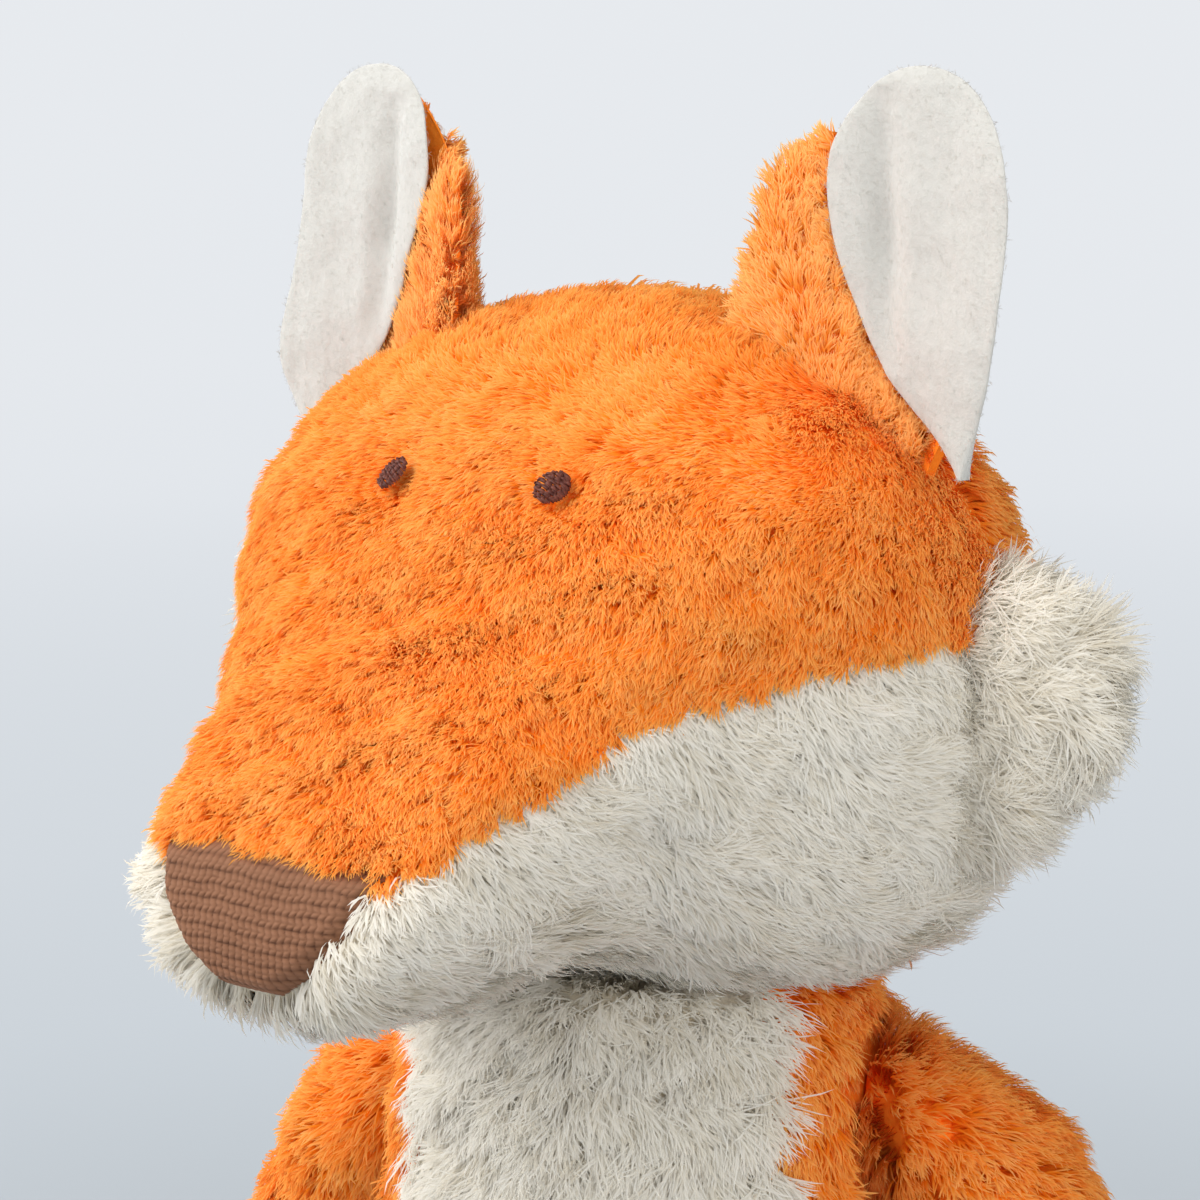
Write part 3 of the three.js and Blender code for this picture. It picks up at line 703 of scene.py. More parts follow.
nose_x = np.arange(-21, 21 + NOSE_STEP, NOSE_STEP)
nose_z = np.arange(9, 31, NOSE_STEP) + HEAD_MIDDLE[2] - MUZZLE_DROP - 20
grid_x, grid_z = (g.ravel() for g in np.meshgrid(nose_x, nose_z, indexing="ij"))
edge = polygon_distance(np.stack([grid_x, grid_z], 1), NOSE_OUTLINE * [1.05, 1])
turned_in = np.clip(1 - edge / 2.2, 0, 1.6)
row = grid_z / ROW + 0.12 * np.sin(grid_x * 0.33) + 0.05 * np.sin(grid_x * 1.1 + grid_z)
half_row = np.abs(2 * (row - np.floor(row)) - 1)
slant = (grid_x + 0.08 * np.sin(grid_z * 3.1)) / STITCH + 0.42 * half_row
loop = np.sqrt(np.clip(1 - (2 * (slant - np.floor(slant)) - 1) ** 2, 0, 1))
loop = loop * np.sqrt(np.clip(1 - (2 * np.abs(half_row - 0.5)) ** 2, 0, 1))
high = loop * LOOP_HEIGHT + ROW_HEIGHT * np.clip(1 - half_row * 1.4, 0, 1)
nose_y = head_front(grid_x, grid_z - HEAD_MIDDLE[2], 1.1) + HEAD_MIDDLE[1] - high
nose_y = nose_y + 1.7 * turned_in**2
rows_z = len(nose_z)
corner = (np.arange(len(nose_x) - 1)[:, None] * rows_z + np.arange(rows_z - 1)).ravel()
corner = corner[edge[corner] > -0.6]
nose_triangles = np.vstack([
    np.stack([corner, corner + rows_z, corner + rows_z + 1], 1),
    np.stack([corner, corner + rows_z + 1, corner + 1], 1),
])
nose_points = np.stack([grid_x, nose_y, grid_z], 1)
used, kept_points, nose_triangles = used_part(nose_points, nose_triangles)
# The UV map's second place is the knit's height, so that the colour can darken in the low places.
nose_uv = np.clip(np.stack([0.5 + 0.25 * drift(nose_points, 3, 41), high / 0.5], 1), 0, 1)
nose_knit, nodes, links, shader = new_material("nose_knit", {
    "Roughness": 0.9, "Specular IOR Level": 0.15, "Sheen Weight": 0.3,
    "Sheen Tint": srgb(190, 150, 126),
})
uv_map = new_node(nodes, "ShaderNodeUVMap", uv_map="OFBake")
split = new_node(nodes, "ShaderNodeSeparateXYZ")
# Darkest where the knit lies lowest, between the loops and the rows: painted shade in the knit's
# hollows.
deep = ramp_node(nodes, [
    (0.0, srgb(70, 42, 30)), (0.45, srgb(122, 84, 62)), (1.0, srgb(146, 104, 80)),
])
tones = ramp_node(nodes, [(0.0, (0.86, 0.84, 0.82, 1)), (1.0, WHITE)])
links.new(uv_map.outputs[0], split.inputs[0])
links.new(split.outputs[1], deep.inputs[0])
links.new(split.outputs[0], tones.inputs[0])
links.new(
    mixed(nodes, links, 1, deep.outputs[0], tones.outputs[0], "MULTIPLY"),
    shader.inputs["Base Color"],
)
fitted_piece(
    "nose_patch", on_neck(kept_points), nose_triangles, nose_knit, "head",
    uv=nose_uv[used],
)

# Eyes: small discs of satin stitch in dark brown thread, worked through the face panel in two
# layers and sunk a little into the pile.
EYE_RADIUS = 2.75
THREAD = 0.42
EYE_SUNK = 1.3
ROUND_THREAD = 6
ALONG_THREAD = 7


def loft_triangles(rings, sides):
    """Triangles of a tube of rings closed by a point at each end, the points last."""
    ring, side = np.meshgrid(np.arange(rings - 1), np.arange(sides), indexing="ij")
    a, b = (ring * sides + side).ravel(), (ring * sides + (side + 1) % sides).ravel()
    c, d = a + sides, b + sides
    tip, tail = rings * sides, rings * sides + 1
    side = np.arange(sides)
    after = (side + 1) % sides
    end = (rings - 1) * sides
    return np.vstack([
        np.stack([a, c, b], 1),
        np.stack([b, c, d], 1),
        np.stack([np.full(sides, tip), side, after], 1),
        np.stack([np.full(sides, tail), end + after, end + side], 1),
    ])


def stitch(eye, facing, along, over, start, stop, across, lift, rng):
    """One stitch of thread, bowed up from its ends over the eye's dome."""
    share = np.linspace(0, 1, ALONG_THREAD)
    spot = start + (stop - start) * share
    bow = np.sin(np.pi * share) * 0.2 + lift
    dome = 0.75 * (1 - (spot**2 + across**2) / (EYE_RADIUS * 1.15) ** 2)
    aside = across + rng.normal(0, 0.05) + rng.normal(0, 0.12) * (share - 0.5)
    line = (eye - EYE_SUNK * facing) + spot[:, None] * along
    line = line + aside[:, None] * over + (bow + dome)[:, None] * facing
    angle = 2 * np.pi * np.arange(ROUND_THREAD) / ROUND_THREAD
    size = THREAD * 0.56 * np.sqrt(np.clip(1 - (2 * share - 1) ** 6, 0.04, 1))
    ring = np.cos(angle)[:, None] * over + np.sin(angle)[:, None] * facing
    tube = line[:, None, :] + size[:, None, None] * ring[None]
    return np.vstack([tube.reshape(-1, 3), line[:1], line[-1:]])


thread = matted_material(
    "eye_thread",
    {
        "Scale": 1400, "Detail": 2, "Coarseness": 0.5, "Low": 0.35, "High": 0.7,
        "Dark": srgb(72, 30, 22), "Light": srgb(116, 62, 48),
    },
    {"Roughness": 0.55, "Specular IOR Level": 0.25},
)
for name, eye, seed in (("eye_left", eyes_at[0], 51), ("eye_right", eyes_at[1], 52)):
    rng = np.random.default_rng(seed)
    facing = unit(np.array([eye[0] / HEAD_HALF[0], -math.cos(BROW_TILT), math.sin(BROW_TILT)]))
    along = unit(np.cross(facing, [0.5, 0.2, 1.0]))
    over = np.cross(facing, along)
    stitches = []
    for step, lift in ((THREAD, 0.0), (THREAD * 1.6, 0.16)):
        for across in np.arange(-EYE_RADIUS + step / 2, EYE_RADIUS, step):
            reach = math.sqrt(max(0.05, EYE_RADIUS**2 - across**2))
            start = -reach
            while start < reach - 0.2:
                stop = min(reach, start + rng.uniform(0.9, 1.9))
                stitches.append(
                    stitch(eye, facing, along, over, start, stop, across, lift, rng)
                )
                start = stop - 0.1
    size = len(stitches[0])
    first = np.arange(len(stitches))[:, None, None] * size
    triangles = (loft_triangles(ALONG_THREAD, ROUND_THREAD)[None] + first).reshape(-1, 3)
    points = on_neck(np.vstack(stitches))
    fitted_piece(name, points, triangles, thread, "head")

# Ears. Each is a piece of orange plush, rolled forward along its inner edge and caught in the
# crown's seam, with a lining of white wool felt in the hollow. The forms are worked out for the
# left ear and mirrored for the right one, which leans in and turns out a little.
EAR_HEIGHT = 58
EAR_WIDTH = 44
EAR_THICKNESS = 9
EAR_PLACE = np.array([47.5, HEAD_MIDDLE[1], HEAD_MIDDLE[2] + 20])
EAR_LEANS = {1: 0.0, -1: math.radians(6)}
EAR_TURNS = {1: 0.0, -1: math.radians(15)}
EAR_INNER = [-0.52, -0.52, -0.48, -0.39, -0.1]
EAR_OUTER = {1: [0.2, 0.39, 0.475, 0.485, 0.37], -1: [0.45, 0.47, 0.44, 0.43, 0.36]}
EAR_ROLL = [1.3, 1.25, 1.1, 0.9, 0.7]
EAR_STRETCH = {1: 0.99, -1: 1.0}
EDGE_SHARE = 0.5
LINING_INNER = {1: [0.36, 0.05, -0.11, -0.18, -0.1], -1: [0.3, 0.1, -0.08, -0.22, -0.2]}
LINING_OUTER = {1: [0.39, 0.47, 0.53, 0.54, 0.45], -1: [0.34, 0.53, 0.49, 0.48, 0.45]}
FELT_SPAN = {1: (2.5, 0.96), -1: (-5, 1.12)}
FELT_THICKNESS = 2.4
FELT_SHIFT = -(EAR_THICKNESS * EDGE_SHARE + 1.8) / 2 - 0.3
FOLD_DEPTH, FOLD_WIDTH = 2.2, 2.6
SIDES = ((1, "left"), (-1, "right"))
ORDERS = {1: [0, 1, 2], -1: [0, 2, 1]}
# The ears' pile is a paler copy of the orange plush: painted light on the ear rolls, where they
# take the lamps' light.
ear_pile_painted_light = pile_material(
    "ear_pile_painted_light", srgb(252, 140, 36), srgb(252, 168, 62), srgb(255, 218, 146),
    dark=(1.0, 0.88, 0.7), light=(1.0, 1.0, 1.0), sheen=1.0,
)
felt_fuzz = pile_material(
    "felt_fuzz", srgb(198, 196, 190), srgb(202, 200, 194), srgb(206, 204, 198),
    dark=(0.96, 0.95, 0.93), light=(1.0, 1.0, 1.0), sheen=0.5,
)
felt = matted_material(
    "wool_felt",
    {
        "Scale": 700, "Detail": 6, "Coarseness": 0.6, "Low": 0.3, "High": 0.65,
        "Dark": srgb(183, 181, 175), "Light": srgb(190, 188, 182), "Strength": 0.5,
        "Depth": 0.0003,
    },
    {
        "Roughness": 0.95, "Specular IOR Level": 0.1, "Sheen Weight": 0.4,
        "Sheen Roughness": 0.7,
    },
)


def even_curve(points, along):
    """A uniform Catmull-Rom curve with its end points held."""
    points = np.array(points, float)
    if points.ndim == 1:
        points = points[:, None]
    last = len(points) - 1
    place = np.clip(along, 0, 1) * last
    i = np.minimum(place.astype(int), last)
    t = (place - i)[:, None]
    p0, p1, p2, p3 = (points[np.clip(i + k, 0, last)] for k in (-1, 0, 1, 2))
    v0, v1 = (p2 - p0) / 2, (p3 - p1) / 2
    cubic = (2 * p1 - 2 * p2 + v0 + v1) * t + (-3 * p1 + 3 * p2 - 2 * v0 - v1)
    return cubic * t * t + v0 * t + p1


def ring_places(rings):
    """Shares of the length, closer together toward both ends."""
    return (1 - np.cos(np.pi * np.arange(1, rings + 1) / (rings + 1))) / 2


def ear_cup(x):
    return EAR_THICKNESS / 2 * (1 - (x / (EAR_WIDTH / 2)) ** 2)


def ear_plate(inner, outer, thickness, shift, rings, sides, inset):
    """A cupped plate between two edges, which are given as shares of the ear's width."""
    along = ring_places(rings)
    angle = 2 * np.pi * np.arange(sides) / sides
    low, high = (even_curve(shares, along) * EAR_WIDTH for shares in (inner, outer))
    full = np.sqrt(1 - along**11)[:, None]
    x = (low + high) / 2 + (high - low) / 2 * full * np.cos(angle)
    deep = thickness(along, (np.cos(angle) + 1) / 2) * full
    y = ear_cup(x) + shift - deep / 2 * np.sin(angle)
    z = np.broadcast_to((along * EAR_HEIGHT)[:, None], x.shape)
    ends = []
    for end in (0.0, 1.0):
        edges = (even_curve(shares, np.array([end]))[0, 0] for shares in (inner, outer))
        middle = sum(edges) / 2 * EAR_WIDTH
        ends.append([middle, ear_cup(middle) + shift, end * EAR_HEIGHT])
    points = np.vstack([np.stack([x, y, z], 2).reshape(-1, 3), ends])
    triangles = loft_triangles(rings, sides)
    return points - inset * vertex_normals(points, triangles) + EAR_PLACE, triangles


def back_thickness(along, outward):
    share = np.minimum(1, 2 * outward)[None]
    return EAR_THICKNESS * (even_curve(EAR_ROLL, along) * (1 - share) + EDGE_SHARE * share)


def felt_thickness(along, outward):
    return np.full((len(along), len(outward)), FELT_THICKNESS)


def ear_height(points):
    return rising(points[:, 2], EAR_PLACE[2], EAR_HEIGHT)


def ear_edge(points, shares):
    """X of an edge at the points' height."""
    return even_curve(shares, ear_height(points))[:, 0] * EAR_WIDTH + EAR_PLACE[0]


def to_side(side, upright, about):
    """Functions that take points and directions of a left-hand form to their side."""

    def placed(points):
        return on_neck(((points - about) @ upright.T + about) * [side, 1, 1])

    def aimed(directions):
        return turned_head(directions @ upright.T * [side, 1, 1])

    return placed, aimed


for (side, word), seed in zip(SIDES, (71, 72), strict=True):
    upright = turn_about("y", -EAR_LEANS[side]) @ turn_about("z", EAR_TURNS[side])
    placed, aimed = to_side(side, upright, EAR_PLACE)
    order = ORDERS[side]
    ear_outer, lining_inner, lining_outer = EAR_OUTER[side], LINING_INNER[side], LINING_OUTER[side]
    back_points, back_triangles = ear_plate(EAR_INNER, ear_outer, back_thickness, 0, 60, 72, 1.7)
    back_points[:, 2] = EAR_PLACE[2] + (back_points[:, 2] - EAR_PLACE[2]) * EAR_STRETCH[side]
    felt_points, felt_triangles = ear_plate(
        lining_inner, lining_outer, felt_thickness, FELT_SHIFT, 90, 96, 0
    )
    base, stretch = FELT_SPAN[side]
    felt_points[:, 2] = EAR_PLACE[2] + base + (felt_points[:, 2] - EAR_PLACE[2]) * stretch
    felt_points[:, 0] += 1.2 * np.clip((felt_points[:, 0] - EAR_PLACE[0] - 8) / 12, 0, 1)
    fold_x = EAR_PLACE[0] + 4.5 - 3.5 * ear_height(felt_points)
    fold = np.exp(-(((felt_points[:, 0] - fold_x) / FOLD_WIDTH) ** 2))
    fold *= falling(np.abs(ear_height(felt_points) - 0.62), 0, 0.34) ** 0.6
    waves = 0.25 * drift(felt_points, 9, 61) + 0.06 * drift(felt_points, 1.6, 62)
    felt_points[:, 1] += FOLD_DEPTH * fold + waves

    fitted_piece(
        f"ear_back_{word}", placed(back_points), back_triangles[:, order], orange_backing,
        "head",
    )

    def outside_lining(p, ear_outer=ear_outer, lining_inner=lining_inner):
        front = p[:, 1] < ear_cup(p[:, 0] - EAR_PLACE[0]) + EAR_PLACE[1]
        edge = np.maximum(ear_edge(p, lining_inner) + 0.4, ear_edge(p, EAR_INNER) + 3)
        lined = front & (p[:, 0] > edge)
        rim = p[:, 0] > ear_edge(p, ear_outer) - 2.2
        rim |= (ear_height(p) > 0.93) & (p[:, 0] > ear_edge(p, lining_inner))
        return ~lined & ~rim & (p[:, 2] > EAR_PLACE[2] + 2)

    rng = np.random.default_rng(seed)
    place, normal = scatter(back_points, back_triangles, 1.1, outside_lining, rng)
    ridge = (ear_edge(place, EAR_INNER) + ear_edge(place, lining_inner)) / 2
    aside = np.clip((place[:, 0] - ridge) / 6, -1, 1)
    at_edge = rising(place[:, 0], ear_edge(place, ear_outer) - 6, 4)
    comb = ways(0.75 * aside - 2.2 * at_edge, 0.6 * at_edge, 0.8 - 0.5 * at_edge)
    comb = comb + [0.25, 0.2, 0.3] * drifts(place, 7, 73)
    comb[:, 2] -= 2.4 * rising(ear_height(place), 0.78, 0.15) * (normal[:, 1] > -0.2)
    felt_near = np.exp(-(((place[:, 0] - ear_edge(place, lining_inner)) / 3) ** 2))
    comb[:, 0] -= 1.5 * felt_near
    lean = np.clip(0.78 + 0.1 * drift(place, 5, 76) + 0.15 * at_edge, 0.4, 0.96)
    length = (5.0 + 0.6 * drift(place, 5, 77)) * (1 - 0.5 * at_edge) * (1 - 0.25 * felt_near)
    length = length * (1 - 0.6 * rising(ear_height(place), 0.84, 0.1))
    made = locks(place, normal, comb, lean, length, rng, strands=13, spread=0.85, width=0.25,
                 tone=0.12 * drift(place, 4, 78))
    coat(f"ear_pile_painted_light_{word}", made, ear_pile_painted_light, "head", placed, aimed, order)

    fitted_piece(
        f"ear_lining_{word}", placed(felt_points), felt_triangles[:, order], felt, "head",
    )
    place, normal = scatter(felt_points, felt_triangles, 0.75, lambda p: np.ones(len(p)), rng)
    made = locks(place, normal, rng.normal(size=place.shape), 0.9, 1.1, rng,
                 strands=3, spread=0.45, width=0.06, stray=0.5, own=0)
    coat(f"ear_fuzz_{word}", made, felt_fuzz, "head", placed, aimed, order)

# Cheek tufts: strips of the longest cream pile, caught in the side seams and brushed out and
# down, fuller at the top than at the bottom.
TUFT_PLACE = np.array([66.5, HEAD_MIDDLE[1] + 0.17 * 49, HEAD_MIDDLE[2] - 0.25 * 48])
TUFT_SIZE = [13, 5.0, 19.0]
TUFT_ROOT = TUFT_PLACE - [30, 2, -4]
tuft_ball, tuft_triangles = ball(4)
tuft_points = tuft_ball * TUFT_SIZE + TUFT_PLACE
tuft_points[:, 0] -= 10.0 * np.clip((TUFT_PLACE[2] + 3 - tuft_points[:, 2]) / 22, 0, 1)
for (side, word), seed in zip(SIDES, (81, 82), strict=True):
    placed, aimed = to_side(side, np.eye(3), np.zeros(3))
    order = ORDERS[side]
    fitted_piece(
        f"cheek_tuft_{word}", placed(tuft_points), tuft_triangles[:, order], cream_backing,
        "head",
    )
    rng = np.random.default_rng(seed)
    place, normal = scatter(tuft_points, tuft_triangles, 1.05, lambda p: p[:, 0] > 56, rng)
    comb = unit(place - TUFT_ROOT) + 0.5 * drifts(place, 7, 83)
    lean = np.clip(0.84 + 0.08 * drift(place, 6, 86), 0.4, 0.95)
    made = locks(place, normal, comb, lean, 8.0 + 1.8 * drift(place, 3, 87), rng,
                 strands=15, spread=1.25, width=0.27, clump=0.9, stray=0.3,
                 tone=0.1 * drift(place, 4, 88) - 0.1)
    coat(f"cheek_pile_{word}", made, cream_pile, "head", placed, aimed, order)

# Torso: a belly and a chest in one orange bag, with a long cream panel down its front. The
# head rests on its top and the limbs are sewn flat against it, so it has a flat seat at each,
# and its pile stays off them. The limbs' forms are worked out here for that.
TORSO_MIDDLE = np.array([0, 0, 70.0])
TORSO_TOP = 139.6
NEAR_TOP = 138.8
TABLE = 0.3
torso_lobes = [
    (np.array([0, 0, 50.4 - 70]), np.array([45, 40, 50.9]), 0),
    (np.array([0, 0, 106.4 - 70]), np.array([42, 37.33, 53.9]), 0),
]
CHEST_OUTLINE = np.array([
    [0, 0.09], [0.42, 0.12], [0.78, 0.2], [1, 0.35], [1.04, 0.55], [0.96, 0.82], [0.82, 1],
    [0.8, 1.2], [-0.8, 1.2], [-0.82, 1], [-0.96, 0.82], [-1.04, 0.55], [-1, 0.35],
    [-0.78, 0.2], [-0.42, 0.12],
]) * [29, 140]
MIRROR = np.array([-1, 1, 1])
MARK_FULLNESS = 5
ARM_THICKNESS, ARM_LENGTH, ARM_FULLNESS = 30, 74, 5
LEG_THICKNESS, LEG_LENGTH, LEG_FULLNESS, FOOT_HEIGHT, HIP_HEIGHT = 36, 96, 6, 50, 21
arm_spine = np.array([
    [0.1, 0, 0.215], [0.5, 0, -0.08], [0.8, -0.03, -0.42], [0.98, -0.1, -0.76],
]) * [ARM_THICKNESS, ARM_LENGTH, ARM_LENGTH]
arm_girths = np.array([[0.44, 0.5], [0.54, 0.58], [0.48, 0.5], [0.5, 0.56]]) * ARM_THICKNESS
leg_girths = np.vstack([
    np.array([[0.52, 0.54], [0.54, 0.58], [0.48, 0.5]]) * LEG_THICKNESS,
    [[0.54 * LEG_THICKNESS, 0.5 * FOOT_HEIGHT]],
])
leg_spine = np.array([
    [0.38, 0.22, 0], [0.46, -0.12, 0], [0.52, -0.45, 0], [0.55, -0.78, 0],
]) * [LEG_THICKNESS, LEG_LENGTH, 1]
leg_spine[:, 2] = leg_girths[:, 1] - HIP_HEIGHT - 0.5

seats = {}
for word, seat_place, tilt, splay in (
    ("arm_left", (35, 7, 112), 8, 0),
    ("arm_right", (-35, 7, 112), -8, 0),
    ("leg_left", (39, -8, HIP_HEIGHT), 0, 10),
    ("leg_right", (-39, -8, HIP_HEIGHT), 0, -10),
):
    turn = turn_about("z", math.radians(splay)) @ turn_about("y", math.radians(-tilt))
    outward = turn[:, 0] * (1 if "left" in word else -1)
    seats[word] = (np.array(seat_place, float), turn, outward)


def round_curve(points, along):
    """A centripetal Catmull-Rom curve through the points, and its direction."""
    points = np.array(points, float)
    points = np.vstack([2 * points[0] - points[1], points, 2 * points[-1] - points[-2]])
    place = np.clip(along, 0, 1) * (len(points) - 3)
    i = np.minimum(place.astype(int), len(points) - 4)
    t = (place - i)[:, None]
    p0, p1, p2, p3 = (points[i + k] for k in range(4))
    d0, d1, d2 = (
        np.linalg.norm(b - a, axis=1, keepdims=True) ** 0.5
        for a, b in ((p0, p1), (p1, p2), (p2, p3))
    )
    t1 = ((p1 - p0) / d0 - (p2 - p0) / (d0 + d1) + (p2 - p1) / d1) * d1
    t2 = ((p2 - p1) / d1 - (p3 - p1) / (d1 + d2) + (p3 - p2) / d2) * d1
    c2 = -3 * p1 + 3 * p2 - 2 * t1 - t2
    c3 = 2 * p1 - 2 * p2 + t1 + t2
    return p1 + t * (t1 + t * (c2 + t * c3)), unit(t1 + t * (2 * c2 + 3 * t * c3))


def limb(spine, girths, squareness, rings, sides, inset):
    """A stuffed tube round a spine, its girths given as half widths and half heights."""
    along = ring_places(rings)
    path, heading = round_curve(spine, along)
    size = even_curve(girths, along)
    full = np.sqrt(np.maximum(0, 1 - np.abs(2 * along - 1) ** squareness))[:, None]
    across = np.array([1.0, 0, 0])
    up = unit(np.cross(across, heading))
    angle = 2 * np.pi * np.arange(sides) / sides
    sideways = (size[:, :1] * full)[:, None, :] * np.cos(angle)[None, :, None] * across
    upright = (size[:, 1:] * full)[:, None, :] * np.sin(angle)[None, :, None] * up[:, None, :]
    grid = path[:, None, :] + sideways + upright
    ends, _ = round_curve(spine, np.array([0.0, 1.0]))
    points = np.vstack([grid.reshape(-1, 3), ends])
    triangles = loft_triangles(rings, sides)
    return points - inset * vertex_normals(points, triangles), triangles


neck_marks = on_neck(head_points[head_points[:, 2] < HEAD_FLOOR + 1.5]) * [1, 1, 0]
sewn_marks = {}
for kind, spine, girths in (("arm", arm_spine, arm_girths), ("leg", leg_spine, leg_girths)):
    seat_place, turn, _ = seats[f"{kind}_left"]
    marks = limb(spine, girths, MARK_FULLNESS, 60, 48, 0)[0]
    marks = marks[marks[:, 0] < 0.5] * [0, 1, 1]
    sewn_marks[f"{kind}_left"] = marks @ turn.T + seat_place
    sewn_marks[f"{kind}_right"] = sewn_marks[f"{kind}_left"] * MIRROR


def seated(points, keep_off=0.3):
    """The torso, pressed flat at the limbs' seats, under the head and on the table."""
    for seat_place, _, outward in seats.values():
        points = pressed(points, seat_place, outward, keep_off)
    return pressed(pressed(points, (0, 0, TORSO_TOP), UPWARD), (0, 0, TABLE), DOWNWARD)


def beside(points, marks):
    """Distance from each point to the nearest mark."""
    return np.concatenate([
        np.sqrt(((part[:, None] - marks[None]) ** 2).sum(2).min(1))
        for part in np.array_split(points, 60)
    ])


def off_seats(points, gap=1.2):
    """Where the torso isn't covered by the head or by a limb sewn against it."""
    free = points[:, 2] > 0.8
    top = points[:, 2] > NEAR_TOP
    free[top] = beside(points[top] * [1, 1, 0], neck_marks) > 2.5
    for word, (seat_place, _, outward) in seats.items():
        near = (points - seat_place) @ outward > -gap
        free[near] &= beside(points[near], sewn_marks[word]) > 2.2
    return free


def in_chest(points):
    inside = polygon_distance(points[:, [0, 2]], CHEST_OUTLINE)
    return np.where(points[:, 1] < 0, inside, FAR_OUTSIDE)


def as_is(points):
    return points


def pile_on(name, points, triangles, weight, combing, material, body, seed, *, spacing,
            length, strands, spread, width, clump, shag=0.9, lean=0.76, stray=0.2, longer=None):
    """The pile of a panel on the body or a limb, with seeds that follow from the first."""
    rng = np.random.default_rng(seed)
    place, normal = scatter(points, triangles, spacing, weight, rng)
    comb = combing(place) + 0.4 * drifts(place, 9, seed)
    lie = np.clip(lean + 0.12 * drift(place, 6, seed + 3), 0.2, 0.95)
    long = length + shag * drift(place, 5, seed + 4)
    if longer is not None:
        raised = longer(place)
        lie, long = lie - 0.2 * raised, long + 2.5 * raised
    if body == "torso":
        comb += 1.8 * rising(place[:, 2:], 122, 14) * unit(place * [1, 1, 0])
        for where, flat, short in (
            (beside(place, seat_marks) < 1.5, 0.95, 3.5),
            (place[:, 2] > NEAR_TOP, 0.75, 5.5),
        ):
            lie, long = np.where(where, flat, lie), np.where(where, short, long)
    tone = 0.18 * drift(place, 2, seed + 5) + 0.12 * drift(place, 7, seed + 6)
    made = locks(place, normal, comb, lie, long, rng, strands=strands, spread=spread,
                 width=width, tone=tone, stray=stray, clump=clump)
    made[0][:, 2] = np.maximum(made[0][:, 2], TABLE)
    coat(name, made, material, body, as_is, as_is)


torso_bag = (torso_lobes, [], torso_lobes[0][1], TORSO_MIDDLE)
points, triangles = bag(*torso_bag, 6, PILE_DEPTH)
points = seated(points)
chesty = in_chest(points[triangles].mean(1)) > 0
seat_marks = np.vstack([
    points[np.abs((points - seat_place) @ outward + 0.3) < 0.05]
    for seat_place, _, outward in seats.values()
])
panel("chest_panel", points, triangles[chesty], cream_backing, "torso")
panel("torso_cover", points, triangles[~chesty], orange_backing, "torso")
pile_on(
    "chest_pile", points, triangles, lambda p: (in_chest(p) > 0) & off_seats(p),
    lambda p: ways(0.25 * np.sign(p[:, 0]), -0.1, -0.9), cream_pile, "torso", 101,
    spacing=1.65, length=8.4, strands=22, spread=1.65, width=0.3, clump=0.95, shag=1.8,
    lean=0.74, stray=0.28, longer=lambda p: rising(p[:, 2], 122, 14) * (p[:, 1] < 0),
)
pile_on(
    "torso_pile", points, triangles, lambda p: (in_chest(p) < 0) & off_seats(p),
    lambda p: ways(0.2 * np.sign(p[:, 0]), 0, -0.9), orange_pile, "torso", 111,
    spacing=1.6, length=7.2, strands=16, spread=1.4, width=0.36, clump=0.9,
)
core_points, core_triangles = bag(*torso_bag, 4, CORE_DEPTH)
core_points = pressed(seated(core_points, 4), (0, 0, 136.0), UPWARD)
filling("torso", core_points, core_triangles, "torso")

# Arms and legs: stuffed tubes of orange plush, sewn flat against the torso, on which they
# swing. The legs end in cream soles. The photo's right arm lies closer to the body.
SOLE_Y = -0.7 * LEG_LENGTH
COVER_FLOOR = 0.4
PILE_FLOOR = 0.7
OFF_SEAT = 1.3
ARM_COMB, LEG_COMB = np.array([[0.3, 0.3, -1.0]]), np.array([[0.5, 0.8, -0.5]])


def sew_limb(kind, side, word, spine, girths, fullness, seed):
    """One arm or leg: its cover and filling, for a leg its sole too, and their piles."""
    body = f"{kind}_{word}"
    seat_place, turn, _ = seats[f"{kind}_left"]
    mirror = MIRROR if side < 0 else 1
    forms = []
    for inset, rings, sides, seat_gap in ((PILE_DEPTH, 80, 72, 0.3), (CORE_DEPTH, 30, 28, 3.3)):
        local, triangles = limb(spine, girths, fullness, rings, sides, inset)
        local = pressed(local, (seat_gap, 0, 0), (-1, 0, 0))
        points = (local @ turn.T + seat_place) * mirror
        points[:, 2] = np.maximum(points[:, 2], COVER_FLOOR)
        forms.append((local, points, triangles[:, ORDERS[side]]))
    (local, points, triangles), (_, core_points, core_triangles) = forms
    sole = (local[triangles].mean(1)[:, 1] < SOLE_Y) & (kind == "leg")

    def in_seat(p):
        return (p * mirror - seat_place) @ turn

    def toward_end(p):
        if kind == "leg":
            return LEG_COMB @ turn.T * mirror
        high = rising(in_seat(p)[:, 2:], 4, 12)
        return (ARM_COMB + high * [1.8, 0, 0.5]) @ turn.T * mirror

    def on_limb(p):
        at = in_seat(p)
        orange = (at[:, 1] > SOLE_Y) | (kind == "arm")
        return (at[:, 0] > OFF_SEAT) & orange & (p[:, 2] > PILE_FLOOR)

    def over_shoulder(p):
        at = in_seat(p)
        return falling(at[:, 0], 1, 7) * np.clip(at[:, 2] / 10, 0, 1)

    def on_sole(p):
        return (in_seat(p)[:, 1] < SOLE_Y) & (p[:, 2] > PILE_FLOOR)

    panel(f"{body}_cover", points, triangles[~sole], orange_backing, body)
    pile_on(
        f"{body}_pile", points, triangles, on_limb, toward_end, orange_pile, body,
        seed, spacing=1.5, length=7.0, strands=16, spread=1.3, width=0.36,
        clump=0.9, longer=over_shoulder if kind == "arm" else None,
    )
    if kind == "leg":
        name = f"foot_{word}_sole"
        panel(name, points, triangles[sole], cream_backing, body)
        pile_on(
            f"foot_{word}_pile", points, triangles, on_sole, lambda p: [[0.0, -0.3, -0.8]],
            cream_pile, body, seed + 5, spacing=1.4, length=5.2, strands=14,
            spread=1.15, width=0.34, clump=0.8, lean=0.68,
        )
    filling(body, core_points, core_triangles, body)


